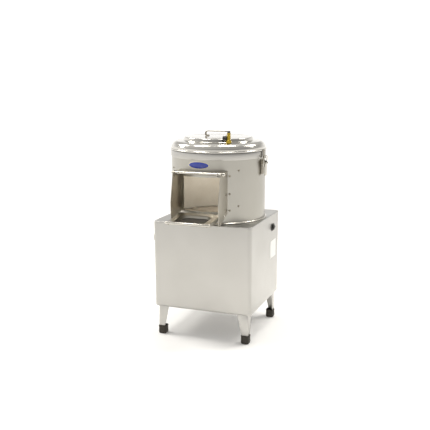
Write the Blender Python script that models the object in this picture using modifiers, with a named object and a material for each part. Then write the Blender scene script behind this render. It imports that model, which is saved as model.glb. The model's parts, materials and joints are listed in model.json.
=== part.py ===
"""Potato peeling machine: a drum with a turning abrasive disc on a sheet metal cabinet.

The drum axis stands on the origin of the machine frame, +Z is up and the chute faces -Y.
The machine frame is moved so that the whole object stands centred on the world origin.
All lengths are metres.
"""

import math

import bmesh
import bpy
from mathutils import Vector

for old_object in list(bpy.data.objects):
    bpy.data.objects.remove(old_object, do_unlink=True)

# Driving dimensions
DRUM_RADIUS = 0.190
DRUM_HEIGHT = 0.2737
CABINET_SIDE_MARGIN = 0.015
CABINET_END_MARGIN = 0.010
CABINET_HEIGHT = 0.352
CABINET_CLEARANCE = 0.123
LID_HEIGHT = 0.0492
SHEET = 0.0015

# Clearances and drawing detail
FIT = 0.0003
OVERRUN = 0.010
LARGE_STEPS = 48
MEDIUM_STEPS = 24
SMALL_STEPS = 16
ARC_STEPS = 5
MERGE = 0.00001

# Cabinet
CABINET_CORNER = 0.022
TOP_LEDGE = 0.004
REAR_FRAME_SIDE = 0.060
REAR_FRAME_END = 0.041
REAR_PANEL_LAP = 0.012
FLOOR_VENT_HALF_WIDTH = 0.060
FLOOR_VENT_LENGTH = 0.090
FLOOR_VENT_FRONT = 0.040
LOUVRE_COUNT = 6
LOUVRE_WIDTH = 0.120
LOUVRE_HEIGHT = 0.006
LOUVRE_PITCH = 0.018
GLAND_RADIUS = 0.014
GLAND_THREAD_RADIUS = 0.010
GLAND_FLANGE = 0.006
GLAND_LENGTH = 0.022
GLAND_NOSE_RADIUS = 0.008
GLAND_BORE = 0.0045
GLAND_DROP = 0.100

# Legs and feet
LEG_INSET = 0.013
LEG_WIDTH_TOP = 0.045
LEG_WIDTH_BOTTOM = 0.020
LEG_SHEET = 0.0025
FOOT_HEIGHT = 0.035
FOOT_WALL = 0.003
FOOT_SOLE = 0.008
FOOT_BEVEL = 0.006

# Drum
OPENING_STEP = 0.001
SILL_HEIGHT = 0.048
OPENING_HEAD = 0.091
COLLAR_SHEET = 0.002
COLLAR_HEIGHT = 0.025
BASE_RING_WIDTH = 0.0072
BASE_RING_HEIGHT = 0.0067
LINER_SHEET = 0.002
LINER_FOOT = 0.006
LINER_TOP_GAP = 0.0107
BADGE_WIDTH = 0.088
BADGE_HEIGHT = 0.030
BADGE_SHEET = 0.001
BADGE_AZIMUTH = math.radians(-3.8)
BADGE_GAP = 0.005

# Chute
CHEEK_X = 0.096
CHEEK_MARGIN = 0.026
CHEEK_FRONT_TOP = 0.052
CHEEK_FRONT_KNEE = 0.079
CHEEK_FRONT_BOTTOM = 0.075
CHEEK_KNEE_DROP = 0.118
CHEEK_FOOT = 0.008
CHEEK_HEEL = 0.044
CHEEK_FLANGE = 0.024
TIE_ROD_RADIUS = 0.005
TIE_ROD_SETBACK = 0.014
TIE_ROD_DROP = 0.0065
TIE_COLLAR_RADIUS = 0.008
TIE_COLLAR_WIDTH = 0.005
TIE_COLLAR_INSET = 0.014
TIE_NUT_RADIUS = 0.0075
TIE_NUT_LENGTH = 0.012
TIE_NUT_BORE_DEPTH = 0.007
TIE_ROD_END = 0.006

# Door, drawn open, from its hinge axis
DOOR_SLOPE = math.radians(5.5)
DOOR_HINGE_OUT = 0.010
DOOR_HINGE_UP = 0.038
DOOR_SIDE_GAP = 0.010
DOOR_PIN_RADIUS = 0.003
DOOR_KNUCKLE_RADIUS = 0.005
DOOR_START = 0.0062
DOOR_LIP = 0.006
DOOR_FLANGE_DROP = 0.012
DOOR_FLANGE_START = 0.014
DISH_DEPTH = 0.014
DISH_SIDE = 0.023
DISH_FRONT_GAP = 0.012
DISH_REAR_GAP = 0.026
DISH_CORNER = 0.034
PAD_SHEET = 0.003
DOOR_ROD_RADIUS = 0.0055
DOOR_ROD_SIDE_GAP = 0.004
DOOR_ROD_DOME = 0.002
HINGE_PIN_END = 0.0035

# Lid, as drops below its flat top and insets from its rim
LID_OVERHANG = 0.006
LID_TOP_INSET = 0.058
LID_STEP_INSET = 0.055
LID_STEP_DROP = 0.013
LID_LAND_INSET = 0.021
LID_LAND_DROP = 0.016
LID_SHOULDER_INSET = 0.012
LID_SHOULDER_DROP = 0.024
LID_WALL_INSET = 0.0045
LID_WALL_DROP = 0.036
LID_RIM_HEIGHT = 0.0045
LID_RIM_WIDTH = 0.0055
GASKET_OVERLAP = 0.003
GASKET_WIDTH = 0.0065
GASKET_HEIGHT = 0.0022
HANDLE_LENGTH = 0.104
HANDLE_RISE = 0.021
HANDLE_STRAP = 0.003
HANDLE_WIDTH = 0.016
HANDLE_BEND = 0.018
HANDLE_FOOT = 0.014
HANDLE_OFFSET = -0.005

# Water inlet on the lid
INLET_FROM_STEP = 0.024
INLET_AZIMUTH = math.radians(34.0)
INLET_BODY_RADIUS = 0.007
INLET_BODY_HEIGHT = 0.040
INLET_FLANGE_RADIUS = 0.0105
INLET_FLANGE_HEIGHT = 0.010
INLET_STEM_RADIUS = 0.0055
INLET_STEM_DEPTH = 0.024
INLET_BORE = 0.003
UNION_RADIUS = 0.0085
UNION_LENGTH = 0.016
UNION_HEIGHT = 0.019
UNION_BORE = 0.004
NOZZLE_RADIUS = 0.0095
NOZZLE_HEIGHT = 0.012
CAP_RADIUS = 0.006
CAP_HEIGHT = 0.007
CAP_LEVER_LENGTH = 0.016
CAP_LEVER_WIDTH = 0.004
CAP_LEVER_HEIGHT = 0.003

# Toggle latches, from the drum wall outwards
LATCH_AZIMUTH_RIGHT = math.radians(85.0)
LATCH_AZIMUTH_LEFT = math.radians(-100.0)
LATCH_BASE_SHEET = 0.002
LATCH_BASE_WIDTH = 0.027
LATCH_BASE_TOP = 0.031
LATCH_BASE_LENGTH = 0.060
LATCH_EAR_X = 0.0105
LATCH_EAR_SHEET = 0.0015
LATCH_EAR_RADIUS = 0.005
LATCH_EAR_BOTTOM = 0.004
LATCH_PIVOT_OUT = 0.016
LATCH_PIVOT_DROP = 0.046
LATCH_PIN_RADIUS = 0.0022
LATCH_PIN_HEAD = 0.0015
LATCH_BARREL_RADIUS = 0.0036
LEVER_HALF_WIDTH = 0.0085
LEVER_LENGTH = 0.050
LEVER_ROOT = 0.008
LEVER_TIP = 0.0035
LEVER_TIP_OUT = 0.001
LOOP_PIVOT_IN = 0.004
LOOP_PIVOT_DOWN = 0.014
LOOP_WIRE = 0.002
LOOP_HALF_WIDTH = 0.0165
LOOP_HEIGHT = 0.042
LOOP_LEAN = 0.004
LOOP_BEND = 0.007
CATCH_SHEET = 0.0015
CATCH_HALF_WIDTH = 0.008
CATCH_RISE = 0.0045
CATCH_DROP = 0.028
CATCH_LIP_RISE = 0.012
CATCH_CLEARANCE = 0.0004

# Wet side and drive
DISC_GAP = 0.0027
DISC_SHEET = 0.006
DISC_LIFT = 0.004
DISC_HUB_RADIUS = 0.026
DISC_HUB_DEPTH = 0.012
DISC_CAP = 0.003
WAVE_COUNT = 3
WAVE_HEIGHT = 0.007
WAVE_HALF_WIDTH = 0.018
WAVE_INNER_RADIUS = 0.040
WAVE_MARGIN = 0.0185
PAN_STEP = 0.016
PAN_SHOULDER = 0.020
PAN_DEPTH = 0.096
PAN_HUB_CLEARANCE = 0.001
DRAIN_RADIUS = 0.021
DRAIN_BORE = 0.019
DRAIN_STUB = 0.013
DRAIN_MARGIN = 0.003
DRAIN_DROP = 0.074
HOUSING_RADIUS = 0.032
HOUSING_WALL = 0.006
HOUSING_FLANGE_RADIUS = 0.062
HOUSING_FLANGE_HEIGHT = 0.008
HOUSING_TOP_DROP = 0.020
HOUSING_LENGTH = 0.190
HOUSING_SHOULDER = 0.004
BEARING_HEIGHT = 0.015
SHAFT_RADIUS = 0.0125
SHAFT_CLEARANCE = 0.0004
SEAL_HEIGHT = 0.005
SHAFT_TAIL = 0.0088
PULLEY_GAP = 0.022
PULLEY_GROOVE = 0.006
PULLEY_WIDTH = 0.024
PULLEY_FLANGE = 0.004
PULLEY_HUB_RADIUS = 0.024
PULLEY_WEB = 0.006
PULLEY_RIM = 0.008
PULLEY_LIFT = 0.030
MOTOR_PULLEY_RADIUS = 0.026
BELT_HEIGHT = 0.010
BELT_SHEET = 0.008
MOTOR_REAR_GAP = 0.018
MOTOR_FRONT_GAP = 0.022
MOTOR_TOP_GAP = 0.0181
MOTOR_FLANGE_STEP = 0.006
MOTOR_FLANGE_HEIGHT = 0.008
MOTOR_CAP_STEP = 0.008
MOTOR_CAP_HEIGHT = 0.018
MOTOR_SHAFT_RADIUS = 0.0095
MOTOR_SHAFT_DEPTH = 0.050
MOTOR_SHAFT_TAIL = 0.004
BRACKET_SHEET = 0.004
BRACKET_HEIGHT = 0.078
BRACKET_SIDE_MARGIN = 0.006
BRACKET_HOLE = 0.034

# Switch on the right wall
SWITCH_FROM_REAR = 0.102
SWITCH_DROP = 0.054
SWITCH_BOX_DEPTH = 0.038
SWITCH_BOX_SIZE = 0.044
SWITCH_BEZEL_SIZE = 0.028
SWITCH_BEZEL = 0.003
KNOB_RADIUS = 0.012
KNOB_HEIGHT = 0.004
KNOB_SHAFT_RADIUS = 0.004
KNOB_GRIP_HALF = 0.003
KNOB_GRIP_HEIGHT = 0.002
KNOB_BEVEL = 0.001

# Radii and widths that follow
CABINET_WIDTH = 2 * (DRUM_RADIUS + CABINET_SIDE_MARGIN)
CABINET_DEPTH = 2 * (DRUM_RADIUS + CABINET_END_MARGIN)
REAR_OPENING_WIDTH = CABINET_WIDTH - 2 * REAR_FRAME_SIDE
REAR_OPENING_HEIGHT = CABINET_HEIGHT - 2 * REAR_FRAME_END
TOP_OPENING_RADIUS = DRUM_RADIUS - TOP_LEDGE
OPENING_HALF_WIDTH = CHEEK_X - OPENING_STEP
DOOR_HALF_WIDTH = CHEEK_X - DOOR_SIDE_GAP
DOOR_ROD_HALF = CHEEK_X - DOOR_ROD_SIDE_GAP
DISH_HALF_WIDTH = DOOR_HALF_WIDTH - DISH_SIDE
LID_RIM_RADIUS = DRUM_RADIUS + LID_OVERHANG
LID_TOP_RADIUS = LID_RIM_RADIUS - LID_TOP_INSET
LID_STEP_RADIUS = LID_RIM_RADIUS - LID_STEP_INSET
LID_LAND_RADIUS = LID_RIM_RADIUS - LID_LAND_INSET
LID_SHOULDER_RADIUS = LID_RIM_RADIUS - LID_SHOULDER_INSET
LID_WALL_RADIUS = LID_RIM_RADIUS - LID_WALL_INSET
GASKET_INNER = DRUM_RADIUS - GASKET_OVERLAP
INLET_RADIUS_ON_LID = LID_STEP_RADIUS + INLET_FROM_STEP
PAN_FLANGE_RADIUS = DRUM_RADIUS
PAN_RADIUS = TOP_OPENING_RADIUS - PAN_STEP
DRAIN_AXIS_Y = DRAIN_RADIUS + DRAIN_MARGIN - PAN_RADIUS
MOTOR_SPACE = CABINET_DEPTH / 2 - HOUSING_RADIUS - MOTOR_FRONT_GAP - MOTOR_REAR_GAP
MOTOR_FLANGE_RADIUS = MOTOR_SPACE / 2
BRACKET_HALF_WIDTH = MOTOR_FLANGE_RADIUS + BRACKET_SIDE_MARGIN
MOTOR_RADIUS = MOTOR_FLANGE_RADIUS - MOTOR_FLANGE_STEP
MOTOR_CAP_RADIUS = MOTOR_RADIUS - MOTOR_CAP_STEP
MOTOR_AXIS_Y = CABINET_DEPTH / 2 - MOTOR_REAR_GAP - MOTOR_FLANGE_RADIUS
PULLEY_RADIUS = MOTOR_AXIS_Y - MOTOR_PULLEY_RADIUS - PULLEY_GAP
SWITCH_Y = CABINET_DEPTH / 2 - SWITCH_FROM_REAR

# Levels and places that follow
CABINET_TOP_Z = CABINET_CLEARANCE + CABINET_HEIGHT
DRUM_BOTTOM_Z = CABINET_TOP_Z + FIT
DRUM_TOP_Z = DRUM_BOTTOM_Z + DRUM_HEIGHT
DRUM_INNER_RADIUS = DRUM_RADIUS - SHEET
LINER_OUTER_RADIUS = DRUM_INNER_RADIUS - FIT
LINER_HEIGHT = DRUM_HEIGHT - LINER_FOOT - LINER_TOP_GAP
DISC_RADIUS = LINER_OUTER_RADIUS - LINER_SHEET - DISC_GAP
WAVE_OUTER_RADIUS = DISC_RADIUS - WAVE_MARGIN
LID_BOTTOM_Z = DRUM_TOP_Z + GASKET_HEIGHT + 2 * FIT
LID_TOP_Z = LID_BOTTOM_Z + LID_HEIGHT
SILL_Z = CABINET_TOP_Z + SILL_HEIGHT
OPENING_HEIGHT = DRUM_TOP_Z - OPENING_HEAD - SILL_Z
DOOR_LENGTH = OPENING_HEIGHT
DOOR_ROD_Z = DOOR_KNUCKLE_RADIUS - DOOR_ROD_RADIUS / 2
LEG_WIDTH_AT_CAP = LEG_WIDTH_BOTTOM + (LEG_WIDTH_TOP - LEG_WIDTH_BOTTOM) * FOOT_HEIGHT / CABINET_CLEARANCE
FOOT_SIZE = LEG_WIDTH_AT_CAP + 2 * (FOOT_WALL + FIT)
CHEEK_TOP_Z = SILL_Z + OPENING_HEIGHT + CHEEK_MARGIN
HINGE_Y = -(DRUM_RADIUS + DOOR_HINGE_OUT)
HINGE_Z = CABINET_TOP_Z + DOOR_HINGE_UP
WALL_Y_AT_CHEEK = -math.sqrt(DRUM_RADIUS**2 - CHEEK_X**2)
DISC_TOP_Z = CABINET_TOP_Z + DISC_LIFT
HUB_BOTTOM_Z = DISC_TOP_Z - DISC_SHEET - DISC_HUB_DEPTH
HOUSING_TOP_Z = CABINET_TOP_Z - HOUSING_TOP_DROP
HOUSING_BOTTOM_Z = HOUSING_TOP_Z - HOUSING_LENGTH
PAN_TOP_Z = CABINET_TOP_Z - SHEET - FIT
PAN_BOTTOM_Z = PAN_TOP_Z - PAN_DEPTH
SWITCH_Z = CABINET_TOP_Z - SWITCH_DROP
BASE_PLATE_Z = CABINET_CLEARANCE + SHEET + FIT
PULLEY_Z = BASE_PLATE_Z + PULLEY_LIFT
PULLEY_MID_Z = PULLEY_Z + PULLEY_WIDTH / 2

# The frame is moved so that the object stands centred on the world origin
LEFT_REACH = CABINET_WIDTH / 2 + DRAIN_STUB
RIGHT_REACH = CABINET_WIDTH / 2 + FIT + SWITCH_BEZEL + FIT + KNOB_HEIGHT + KNOB_GRIP_HEIGHT
DOOR_REACH = DOOR_LENGTH * math.cos(DOOR_SLOPE) + DOOR_ROD_Z * math.sin(DOOR_SLOPE) + DOOR_ROD_RADIUS
FRONT_REACH = DRUM_RADIUS + DOOR_HINGE_OUT + DOOR_REACH
REAR_REACH = CABINET_DEPTH / 2 + 2 * FIT + SHEET + GLAND_FLANGE + GLAND_LENGTH
FRAME_X = (LEFT_REACH - RIGHT_REACH) / 2
FRAME_Y = (FRONT_REACH - REAR_REACH) / 2

PARTS = bpy.data.collections.new("potato_peeling_machine")
CUTTERS = bpy.data.collections.new("cutters")
bpy.context.scene.collection.children.link(PARTS)
bpy.context.scene.collection.children.link(CUTTERS)


def finish(name, colour, roughness, metallic):
    """Principled material."""
    material = bpy.data.materials.new(name)
    material.use_nodes = True
    shader = material.node_tree.nodes["Principled BSDF"]
    shader.inputs["Base Color"].default_value = (*colour, 1)
    shader.inputs["Roughness"].default_value = roughness
    shader.inputs["Metallic"].default_value = metallic
    return material


STAINLESS = finish("brushed_stainless", (0.58, 0.57, 0.54), 0.35, 1)
POLISHED = finish("polished_stainless", (0.72, 0.71, 0.69), 0.12, 1)
ABRASIVE = finish("abrasive_coating", (0.34, 0.31, 0.26), 0.9, 0)
BLACK_RUBBER = finish("black_rubber", (0.03, 0.028, 0.024), 0.8, 0)
BLACK_PLASTIC = finish("black_plastic", (0.02, 0.02, 0.02), 0.45, 0)
GREY_PLASTIC = finish("grey_plastic", (0.30, 0.30, 0.28), 0.5, 0)
BRASS = finish("brass", (0.55, 0.42, 0.12), 0.3, 1)
CAST_ALUMINIUM = finish("cast_aluminium", (0.45, 0.45, 0.45), 0.5, 1)
STEEL = finish("machined_steel", (0.5, 0.5, 0.5), 0.3, 1)
ENAMEL = finish("blue_enamel", (0.06, 0.09, 0.30), 0.3, 0)
MOTOR_PAINT = finish("grey_motor_paint", (0.12, 0.13, 0.14), 0.5, 0)


def frame_empty(name, location, parent=None, turn=0, slope=0):
    """Empty that carries the pieces of one place or axis, turned about +Z and sloped about +X."""
    empty = bpy.data.objects.new(name, None)
    empty.location = location
    empty.rotation_euler = (slope, 0, turn)
    empty.parent = parent
    PARTS.objects.link(empty)
    return empty


MACHINE = frame_empty("machine_frame", (FRAME_X, FRAME_Y, 0))


def add_object(name, data, material, parent, location=(0, 0, 0), rotation=(0, 0, 0)):
    """Link data as a named part under its parent; with no material it is a cutter."""
    part = bpy.data.objects.new(name, data)
    part.parent = parent
    part.location = location
    part.rotation_euler = rotation
    if material:
        PARTS.objects.link(part)
        data.materials.append(material)
    else:
        CUTTERS.objects.link(part)
        part.hide_render = True
        part.display_type = "WIRE"
    return part


def mesh_of(name, form):
    """Mesh data made from a bmesh, which is freed, with its faces pointing out."""
    bmesh.ops.recalc_face_normals(form, faces=form.faces)
    mesh = bpy.data.meshes.new(name)
    form.to_mesh(mesh)
    form.free()
    return mesh


def block(name, low, high, material, parent, bevel=0):
    """Box between two corners, with its edges rounded by bevel."""
    form = bmesh.new()
    bmesh.ops.create_cube(form, size=1)
    low = Vector(low)
    high = Vector(high)
    bmesh.ops.scale(form, vec=high - low, verts=form.verts)
    bmesh.ops.translate(form, vec=(high + low) / 2, verts=form.verts)
    part = add_object(name, mesh_of(name, form), material, parent)
    if bevel:
        rounding = part.modifiers.new("rounding", "BEVEL")
        rounding.width = bevel
        rounding.segments = 2
    return part


def rod(name, radius, low, high, axis, centre, material, parent, steps=SMALL_STEPS):
    """Cylinder along an axis, 0 for X, 1 for Y and 2 for Z, from low to high on it."""
    form = bmesh.new()
    bmesh.ops.create_cone(
        form, cap_ends=True, segments=steps, radius1=radius, radius2=radius, depth=high - low
    )
    turn = ((0, math.pi / 2, 0), (math.pi / 2, 0, 0), (0, 0, 0))[axis]
    place = Vector(centre)
    place[axis] = (low + high) / 2
    part = add_object(name, mesh_of(name, form), material, parent)
    part.location = place
    part.rotation_euler = turn
    return part


def turned(
    name, profile, material, parent, closed=True, steps=LARGE_STEPS, centre=(0, 0, 0), turn=(0, 0, 0)
):
    """Profile of (radius, height) points, clockwise from the top, turned about local Z."""
    form = bmesh.new()
    verts = [form.verts.new((radius, 0, height)) for radius, height in profile]
    for first, second in zip(verts, verts[1:]):
        form.edges.new((first, second))
    if closed:
        form.edges.new((verts[-1], verts[0]))
    mesh = bpy.data.meshes.new(name)
    form.to_mesh(mesh)
    form.free()
    part = add_object(name, mesh, material, parent, centre, turn)
    screw = part.modifiers.new("turning", "SCREW")
    screw.steps = steps
    screw.render_steps = steps
    screw.use_merge_vertices = True
    screw.merge_threshold = MERGE
    screw.use_smooth_shade = False
    return part


def ring(inner, outer, bottom, top):
    """Profile of a plain ring."""
    return [(inner, top), (outer, top), (outer, bottom), (inner, bottom)]


def arc(centre, radius, start, end, steps=ARC_STEPS):
    """Points on an arc, angles in radians."""
    angles = [start + (end - start) * index / steps for index in range(steps + 1)]
    return [(centre[0] + radius * math.cos(a), centre[1] + radius * math.sin(a)) for a in angles]


def rounded_rectangle(half_x, half_y, radius, middle_y=0):
    """Outline of a rectangle with round corners, counter-clockwise."""
    quarter = math.pi / 2
    outline = []
    for turns, side in enumerate(((1, 1), (-1, 1), (-1, -1), (1, -1))):
        centre = (side[0] * (half_x - radius), middle_y + side[1] * (half_y - radius))
        outline += arc(centre, radius, turns * quarter, (turns + 1) * quarter)
    return outline


def circle(radius, centre=(0, 0), steps=LARGE_STEPS):
    """Outline of a circle."""
    return arc(centre, radius, 0, 2 * math.pi * (steps - 1) / steps, steps - 1)


def prism(name, outlines, low, high, material, parent, turn=(0, 0, 0), centre=(0, 0, 0)):
    """Flat outlines, the later ones as holes, extruded from low to high along local Z."""
    curve = bpy.data.curves.new(name, "CURVE")
    curve.dimensions = "2D"
    curve.fill_mode = "BOTH"
    curve.extrude = (high - low) / 2
    for outline in outlines:
        spline = curve.splines.new("POLY")
        spline.points.add(len(outline) - 1)
        for point, (x, y) in zip(spline.points, outline):
            point.co = (x, y, 0, 1)
        spline.use_cyclic_u = True
    drawing = bpy.data.objects.new(name, curve)
    CUTTERS.objects.link(drawing)
    graph = bpy.context.evaluated_depsgraph_get()
    mesh = bpy.data.meshes.new_from_object(drawing.evaluated_get(graph))
    bpy.data.objects.remove(drawing, do_unlink=True)
    form = bmesh.new()
    form.from_mesh(mesh)
    bmesh.ops.remove_doubles(form, verts=form.verts, dist=MERGE)
    bmesh.ops.translate(form, vec=(0, 0, (high + low) / 2), verts=form.verts)
    bpy.data.meshes.remove(mesh)
    return add_object(name, mesh_of(name, form), material, parent, centre, turn)


SIDE_VIEW = (math.pi / 2, 0, math.pi / 2)


def side_prism(name, outline, low, high, material, parent, centre=(0, 0, 0)):
    """Outline of (y, z) points extruded along X from low to high."""
    return prism(name, [outline], low, high, material, parent, SIDE_VIEW, centre)


def wall(name, path, low, high, thickness, material, parent, closed=False, offset=0):
    """Path of (x, y) points raised into an open sheet and given its thickness."""
    form = bmesh.new()
    verts = [form.verts.new((x, y, low)) for x, y in path]
    pairs = list(zip(verts, verts[1:]))
    if closed:
        pairs.append((verts[-1], verts[0]))
    edges = [form.edges.new(pair) for pair in pairs]
    raised = bmesh.ops.extrude_edge_only(form, edges=edges)["geom"]
    bmesh.ops.translate(
        form, vec=(0, 0, high - low), verts=[item for item in raised if isinstance(item, bmesh.types.BMVert)]
    )
    part = add_object(name, mesh_of(name, form), material, parent)
    skin = part.modifiers.new("thickness", "SOLIDIFY")
    skin.thickness = thickness
    skin.offset = offset
    skin.use_even_offset = True
    return part


def boolean(part, tool, operation):
    """Boolean modifier with a tool object, which is hidden."""
    step = part.modifiers.new(operation.lower(), "BOOLEAN")
    step.operation = operation
    step.object = tool
    return part


def cut(part, *tools):
    """Take each tool out of the part."""
    for tool in tools:
        boolean(part, tool, "DIFFERENCE")
    return part


def join(part, *tools):
    """Weld each tool to the part."""
    for tool in tools:
        boolean(part, tool, "UNION")
    return part


def build_cabinet():
    """Shell, top, rear panel, bottom plate and cable gland."""
    half_x = CABINET_WIDTH / 2
    half_y = CABINET_DEPTH / 2
    shell_top = CABINET_TOP_Z - SHEET - FIT
    outline = rounded_rectangle(half_x, half_y, CABINET_CORNER)
    inner = rounded_rectangle(half_x - SHEET, half_y - SHEET, CABINET_CORNER - SHEET)
    shell = prism("cabinet_shell", [outline, inner], CABINET_CLEARANCE, shell_top, STAINLESS, MACHINE)
    rear_mid = CABINET_CLEARANCE + CABINET_HEIGHT / 2
    rear_low = rear_mid - REAR_OPENING_HEIGHT / 2
    rear_high = rear_mid + REAR_OPENING_HEIGHT / 2
    rear_window = block(
        "rear_window",
        (-REAR_OPENING_WIDTH / 2, half_y - OVERRUN, rear_low),
        (REAR_OPENING_WIDTH / 2, half_y + OVERRUN, rear_high),
        None,
        MACHINE,
    )
    drain_z = PAN_TOP_Z - DRAIN_DROP
    drain_hole = rod(
        "drain_hole", DRAIN_RADIUS + FIT, -half_x - OVERRUN, -half_x + OVERRUN, 0,
        (0, DRAIN_AXIS_Y, drain_z), None, MACHINE, MEDIUM_STEPS,
    )
    switch_hole = rod(
        "switch_hole", KNOB_SHAFT_RADIUS + 2 * FIT, half_x - OVERRUN, half_x + OVERRUN, 0,
        (0, SWITCH_Y, SWITCH_Z), None, MACHINE,
    )
    cut(shell, rear_window, drain_hole, switch_hole)

    prism(
        "cabinet_top", [outline, circle(TOP_OPENING_RADIUS)], CABINET_TOP_Z - SHEET, CABINET_TOP_Z,
        STAINLESS, MACHINE,
    )
    floor_outline = rounded_rectangle(
        half_x - SHEET - FIT, half_y - SHEET - FIT, CABINET_CORNER - SHEET - FIT
    )
    vent_half = FLOOR_VENT_LENGTH / 2
    vent = rounded_rectangle(
        FLOOR_VENT_HALF_WIDTH, vent_half, CABINET_CORNER, vent_half + FLOOR_VENT_FRONT - half_y
    )
    prism(
        "base_plate", [floor_outline, vent], CABINET_CLEARANCE, CABINET_CLEARANCE + SHEET,
        STAINLESS, MACHINE,
    )

    panel_low = rear_low - REAR_PANEL_LAP
    panel_high = rear_high + REAR_PANEL_LAP
    panel_half = REAR_OPENING_WIDTH / 2 + REAR_PANEL_LAP
    panel = block(
        "rear_panel",
        (-panel_half, half_y + FIT, panel_low),
        (panel_half, half_y + FIT + SHEET, panel_high),
        STAINLESS,
        MACHINE,
    )
    for index in range(LOUVRE_COUNT):
        level = rear_mid + LOUVRE_PITCH * index
        louvre = block(
            f"louvre_{index}",
            (-LOUVRE_WIDTH / 2, half_y - OVERRUN, level),
            (LOUVRE_WIDTH / 2, half_y + OVERRUN, level + LOUVRE_HEIGHT),
            None,
            MACHINE,
        )
        cut(panel, louvre)
    gland_z = rear_mid - GLAND_DROP
    gland_hole = rod(
        "gland_hole", GLAND_THREAD_RADIUS + FIT, half_y - OVERRUN, half_y + OVERRUN, 1,
        (0, 0, gland_z), None, MACHINE,
    )
    cut(panel, gland_hole)
    profile = [
        (GLAND_BORE, GLAND_FLANGE + GLAND_LENGTH),
        (GLAND_NOSE_RADIUS, GLAND_FLANGE + GLAND_LENGTH),
        (GLAND_RADIUS, GLAND_FLANGE),
        (GLAND_RADIUS, 0),
        (GLAND_THREAD_RADIUS, 0),
        (GLAND_THREAD_RADIUS, -OVERRUN),
        (GLAND_BORE, -OVERRUN),
    ]
    turned(
        "cable_gland", profile, BLACK_PLASTIC, MACHINE, steps=SMALL_STEPS,
        centre=(0, half_y + SHEET + 2 * FIT, gland_z), turn=(-math.pi / 2, 0, 0),
    )


def build_leg(name, side_x, side_y):
    """Tapered angle leg under one corner and the rubber cap on its foot."""
    corner_x = side_x * (CABINET_WIDTH / 2 - LEG_INSET)
    corner_y = side_y * (CABINET_DEPTH / 2 - LEG_INSET)
    place = frame_empty(f"leg_frame_{name}", (corner_x, corner_y, 0), MACHINE)
    form = bmesh.new()
    ends = ((-side_x * LEG_WIDTH_TOP, 0), (0, 0), (0, -side_y * LEG_WIDTH_TOP))
    top = CABINET_CLEARANCE - FIT
    bottom = FOOT_SOLE + FIT
    verts = [form.verts.new((x, y, top)) for x, y in ends]
    edges = [form.edges.new(pair) for pair in zip(verts, verts[1:])]
    raised = bmesh.ops.extrude_edge_only(form, edges=edges)["geom"]
    lower = [item for item in raised if isinstance(item, bmesh.types.BMVert)]
    bmesh.ops.translate(form, vec=(0, 0, bottom - top), verts=lower)
    taper = LEG_WIDTH_BOTTOM / LEG_WIDTH_TOP
    bmesh.ops.scale(form, vec=(taper, taper, 1), verts=lower)
    leg = add_object(f"leg_{name}", mesh_of(name, form), STAINLESS, place)
    skin = leg.modifiers.new("thickness", "SOLIDIFY")
    skin.thickness = LEG_SHEET
    skin.use_even_offset = True
    skin.offset = 1 if leg_skin_points_in(leg.data, side_x, side_y) else -1

    inner_corner = FOOT_WALL + FIT
    low_x = sorted((side_x * inner_corner, side_x * (inner_corner - FOOT_SIZE)))
    low_y = sorted((side_y * inner_corner, side_y * (inner_corner - FOOT_SIZE)))
    cap = block(
        f"foot_{name}", (low_x[0], low_y[0], 0), (low_x[1], low_y[1], FOOT_HEIGHT),
        BLACK_RUBBER, place, FOOT_BEVEL,
    )
    hollow = block(
        f"foot_hollow_{name}",
        (low_x[0] + FOOT_WALL, low_y[0] + FOOT_WALL, FOOT_SOLE),
        (low_x[1] - FOOT_WALL, low_y[1] - FOOT_WALL, FOOT_HEIGHT + OVERRUN),
        None,
        place,
    )
    cut(cap, hollow)


def leg_skin_points_in(mesh, side_x, side_y):
    """Whether the sheet's normals point to the inside of the machine."""
    normal = mesh.polygons[0].normal
    return normal.x * side_x + normal.y * side_y < 0


def build_drum():
    """Shell, hoop, bottom ring, liner and blank badge."""
    opening = block(
        "drum_opening",
        (-OPENING_HALF_WIDTH, -DRUM_RADIUS - 2 * OVERRUN, SILL_Z),
        (OPENING_HALF_WIDTH, -DRUM_RADIUS / 2, SILL_Z + OPENING_HEIGHT),
        None,
        MACHINE,
    )
    shell = turned(
        "drum_shell", ring(DRUM_INNER_RADIUS, DRUM_RADIUS, DRUM_BOTTOM_Z, DRUM_TOP_Z), STAINLESS, MACHINE
    )
    cut(shell, opening)
    liner_bottom = DRUM_BOTTOM_Z + LINER_FOOT
    liner_top = liner_bottom + LINER_HEIGHT
    liner = turned(
        "drum_liner",
        ring(LINER_OUTER_RADIUS - LINER_SHEET, LINER_OUTER_RADIUS, liner_bottom, liner_top),
        ABRASIVE,
        MACHINE,
    )
    cut(liner, opening)
    hoop_inner = DRUM_RADIUS + FIT
    turned(
        "drum_collar",
        ring(hoop_inner, hoop_inner + COLLAR_SHEET, DRUM_TOP_Z - COLLAR_HEIGHT, DRUM_TOP_Z),
        STAINLESS,
        MACHINE,
    )
    ring_top = DRUM_BOTTOM_Z + BASE_RING_HEIGHT
    turned(
        "drum_base_ring", ring(hoop_inner, hoop_inner + BASE_RING_WIDTH, DRUM_BOTTOM_Z, ring_top),
        POLISHED, MACHINE,
    )

    badge_inner = DRUM_RADIUS + FIT
    badge = turned(
        "badge_plate",
        ring(badge_inner, badge_inner + BADGE_SHEET, SILL_Z, DRUM_TOP_Z),
        ENAMEL,
        MACHINE,
    )
    half_height = BADGE_HEIGHT / 2
    outline = rounded_rectangle(BADGE_WIDTH / 2, half_height, half_height - FIT)
    window = prism(
        "badge_outline", [outline], 0, DRUM_RADIUS + 2 * OVERRUN, None, MACHINE,
        (math.pi / 2, 0, BADGE_AZIMUTH),
        (0, 0, DRUM_TOP_Z - COLLAR_HEIGHT - BADGE_GAP - half_height),
    )
    boolean(badge, window, "INTERSECT")


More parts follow.
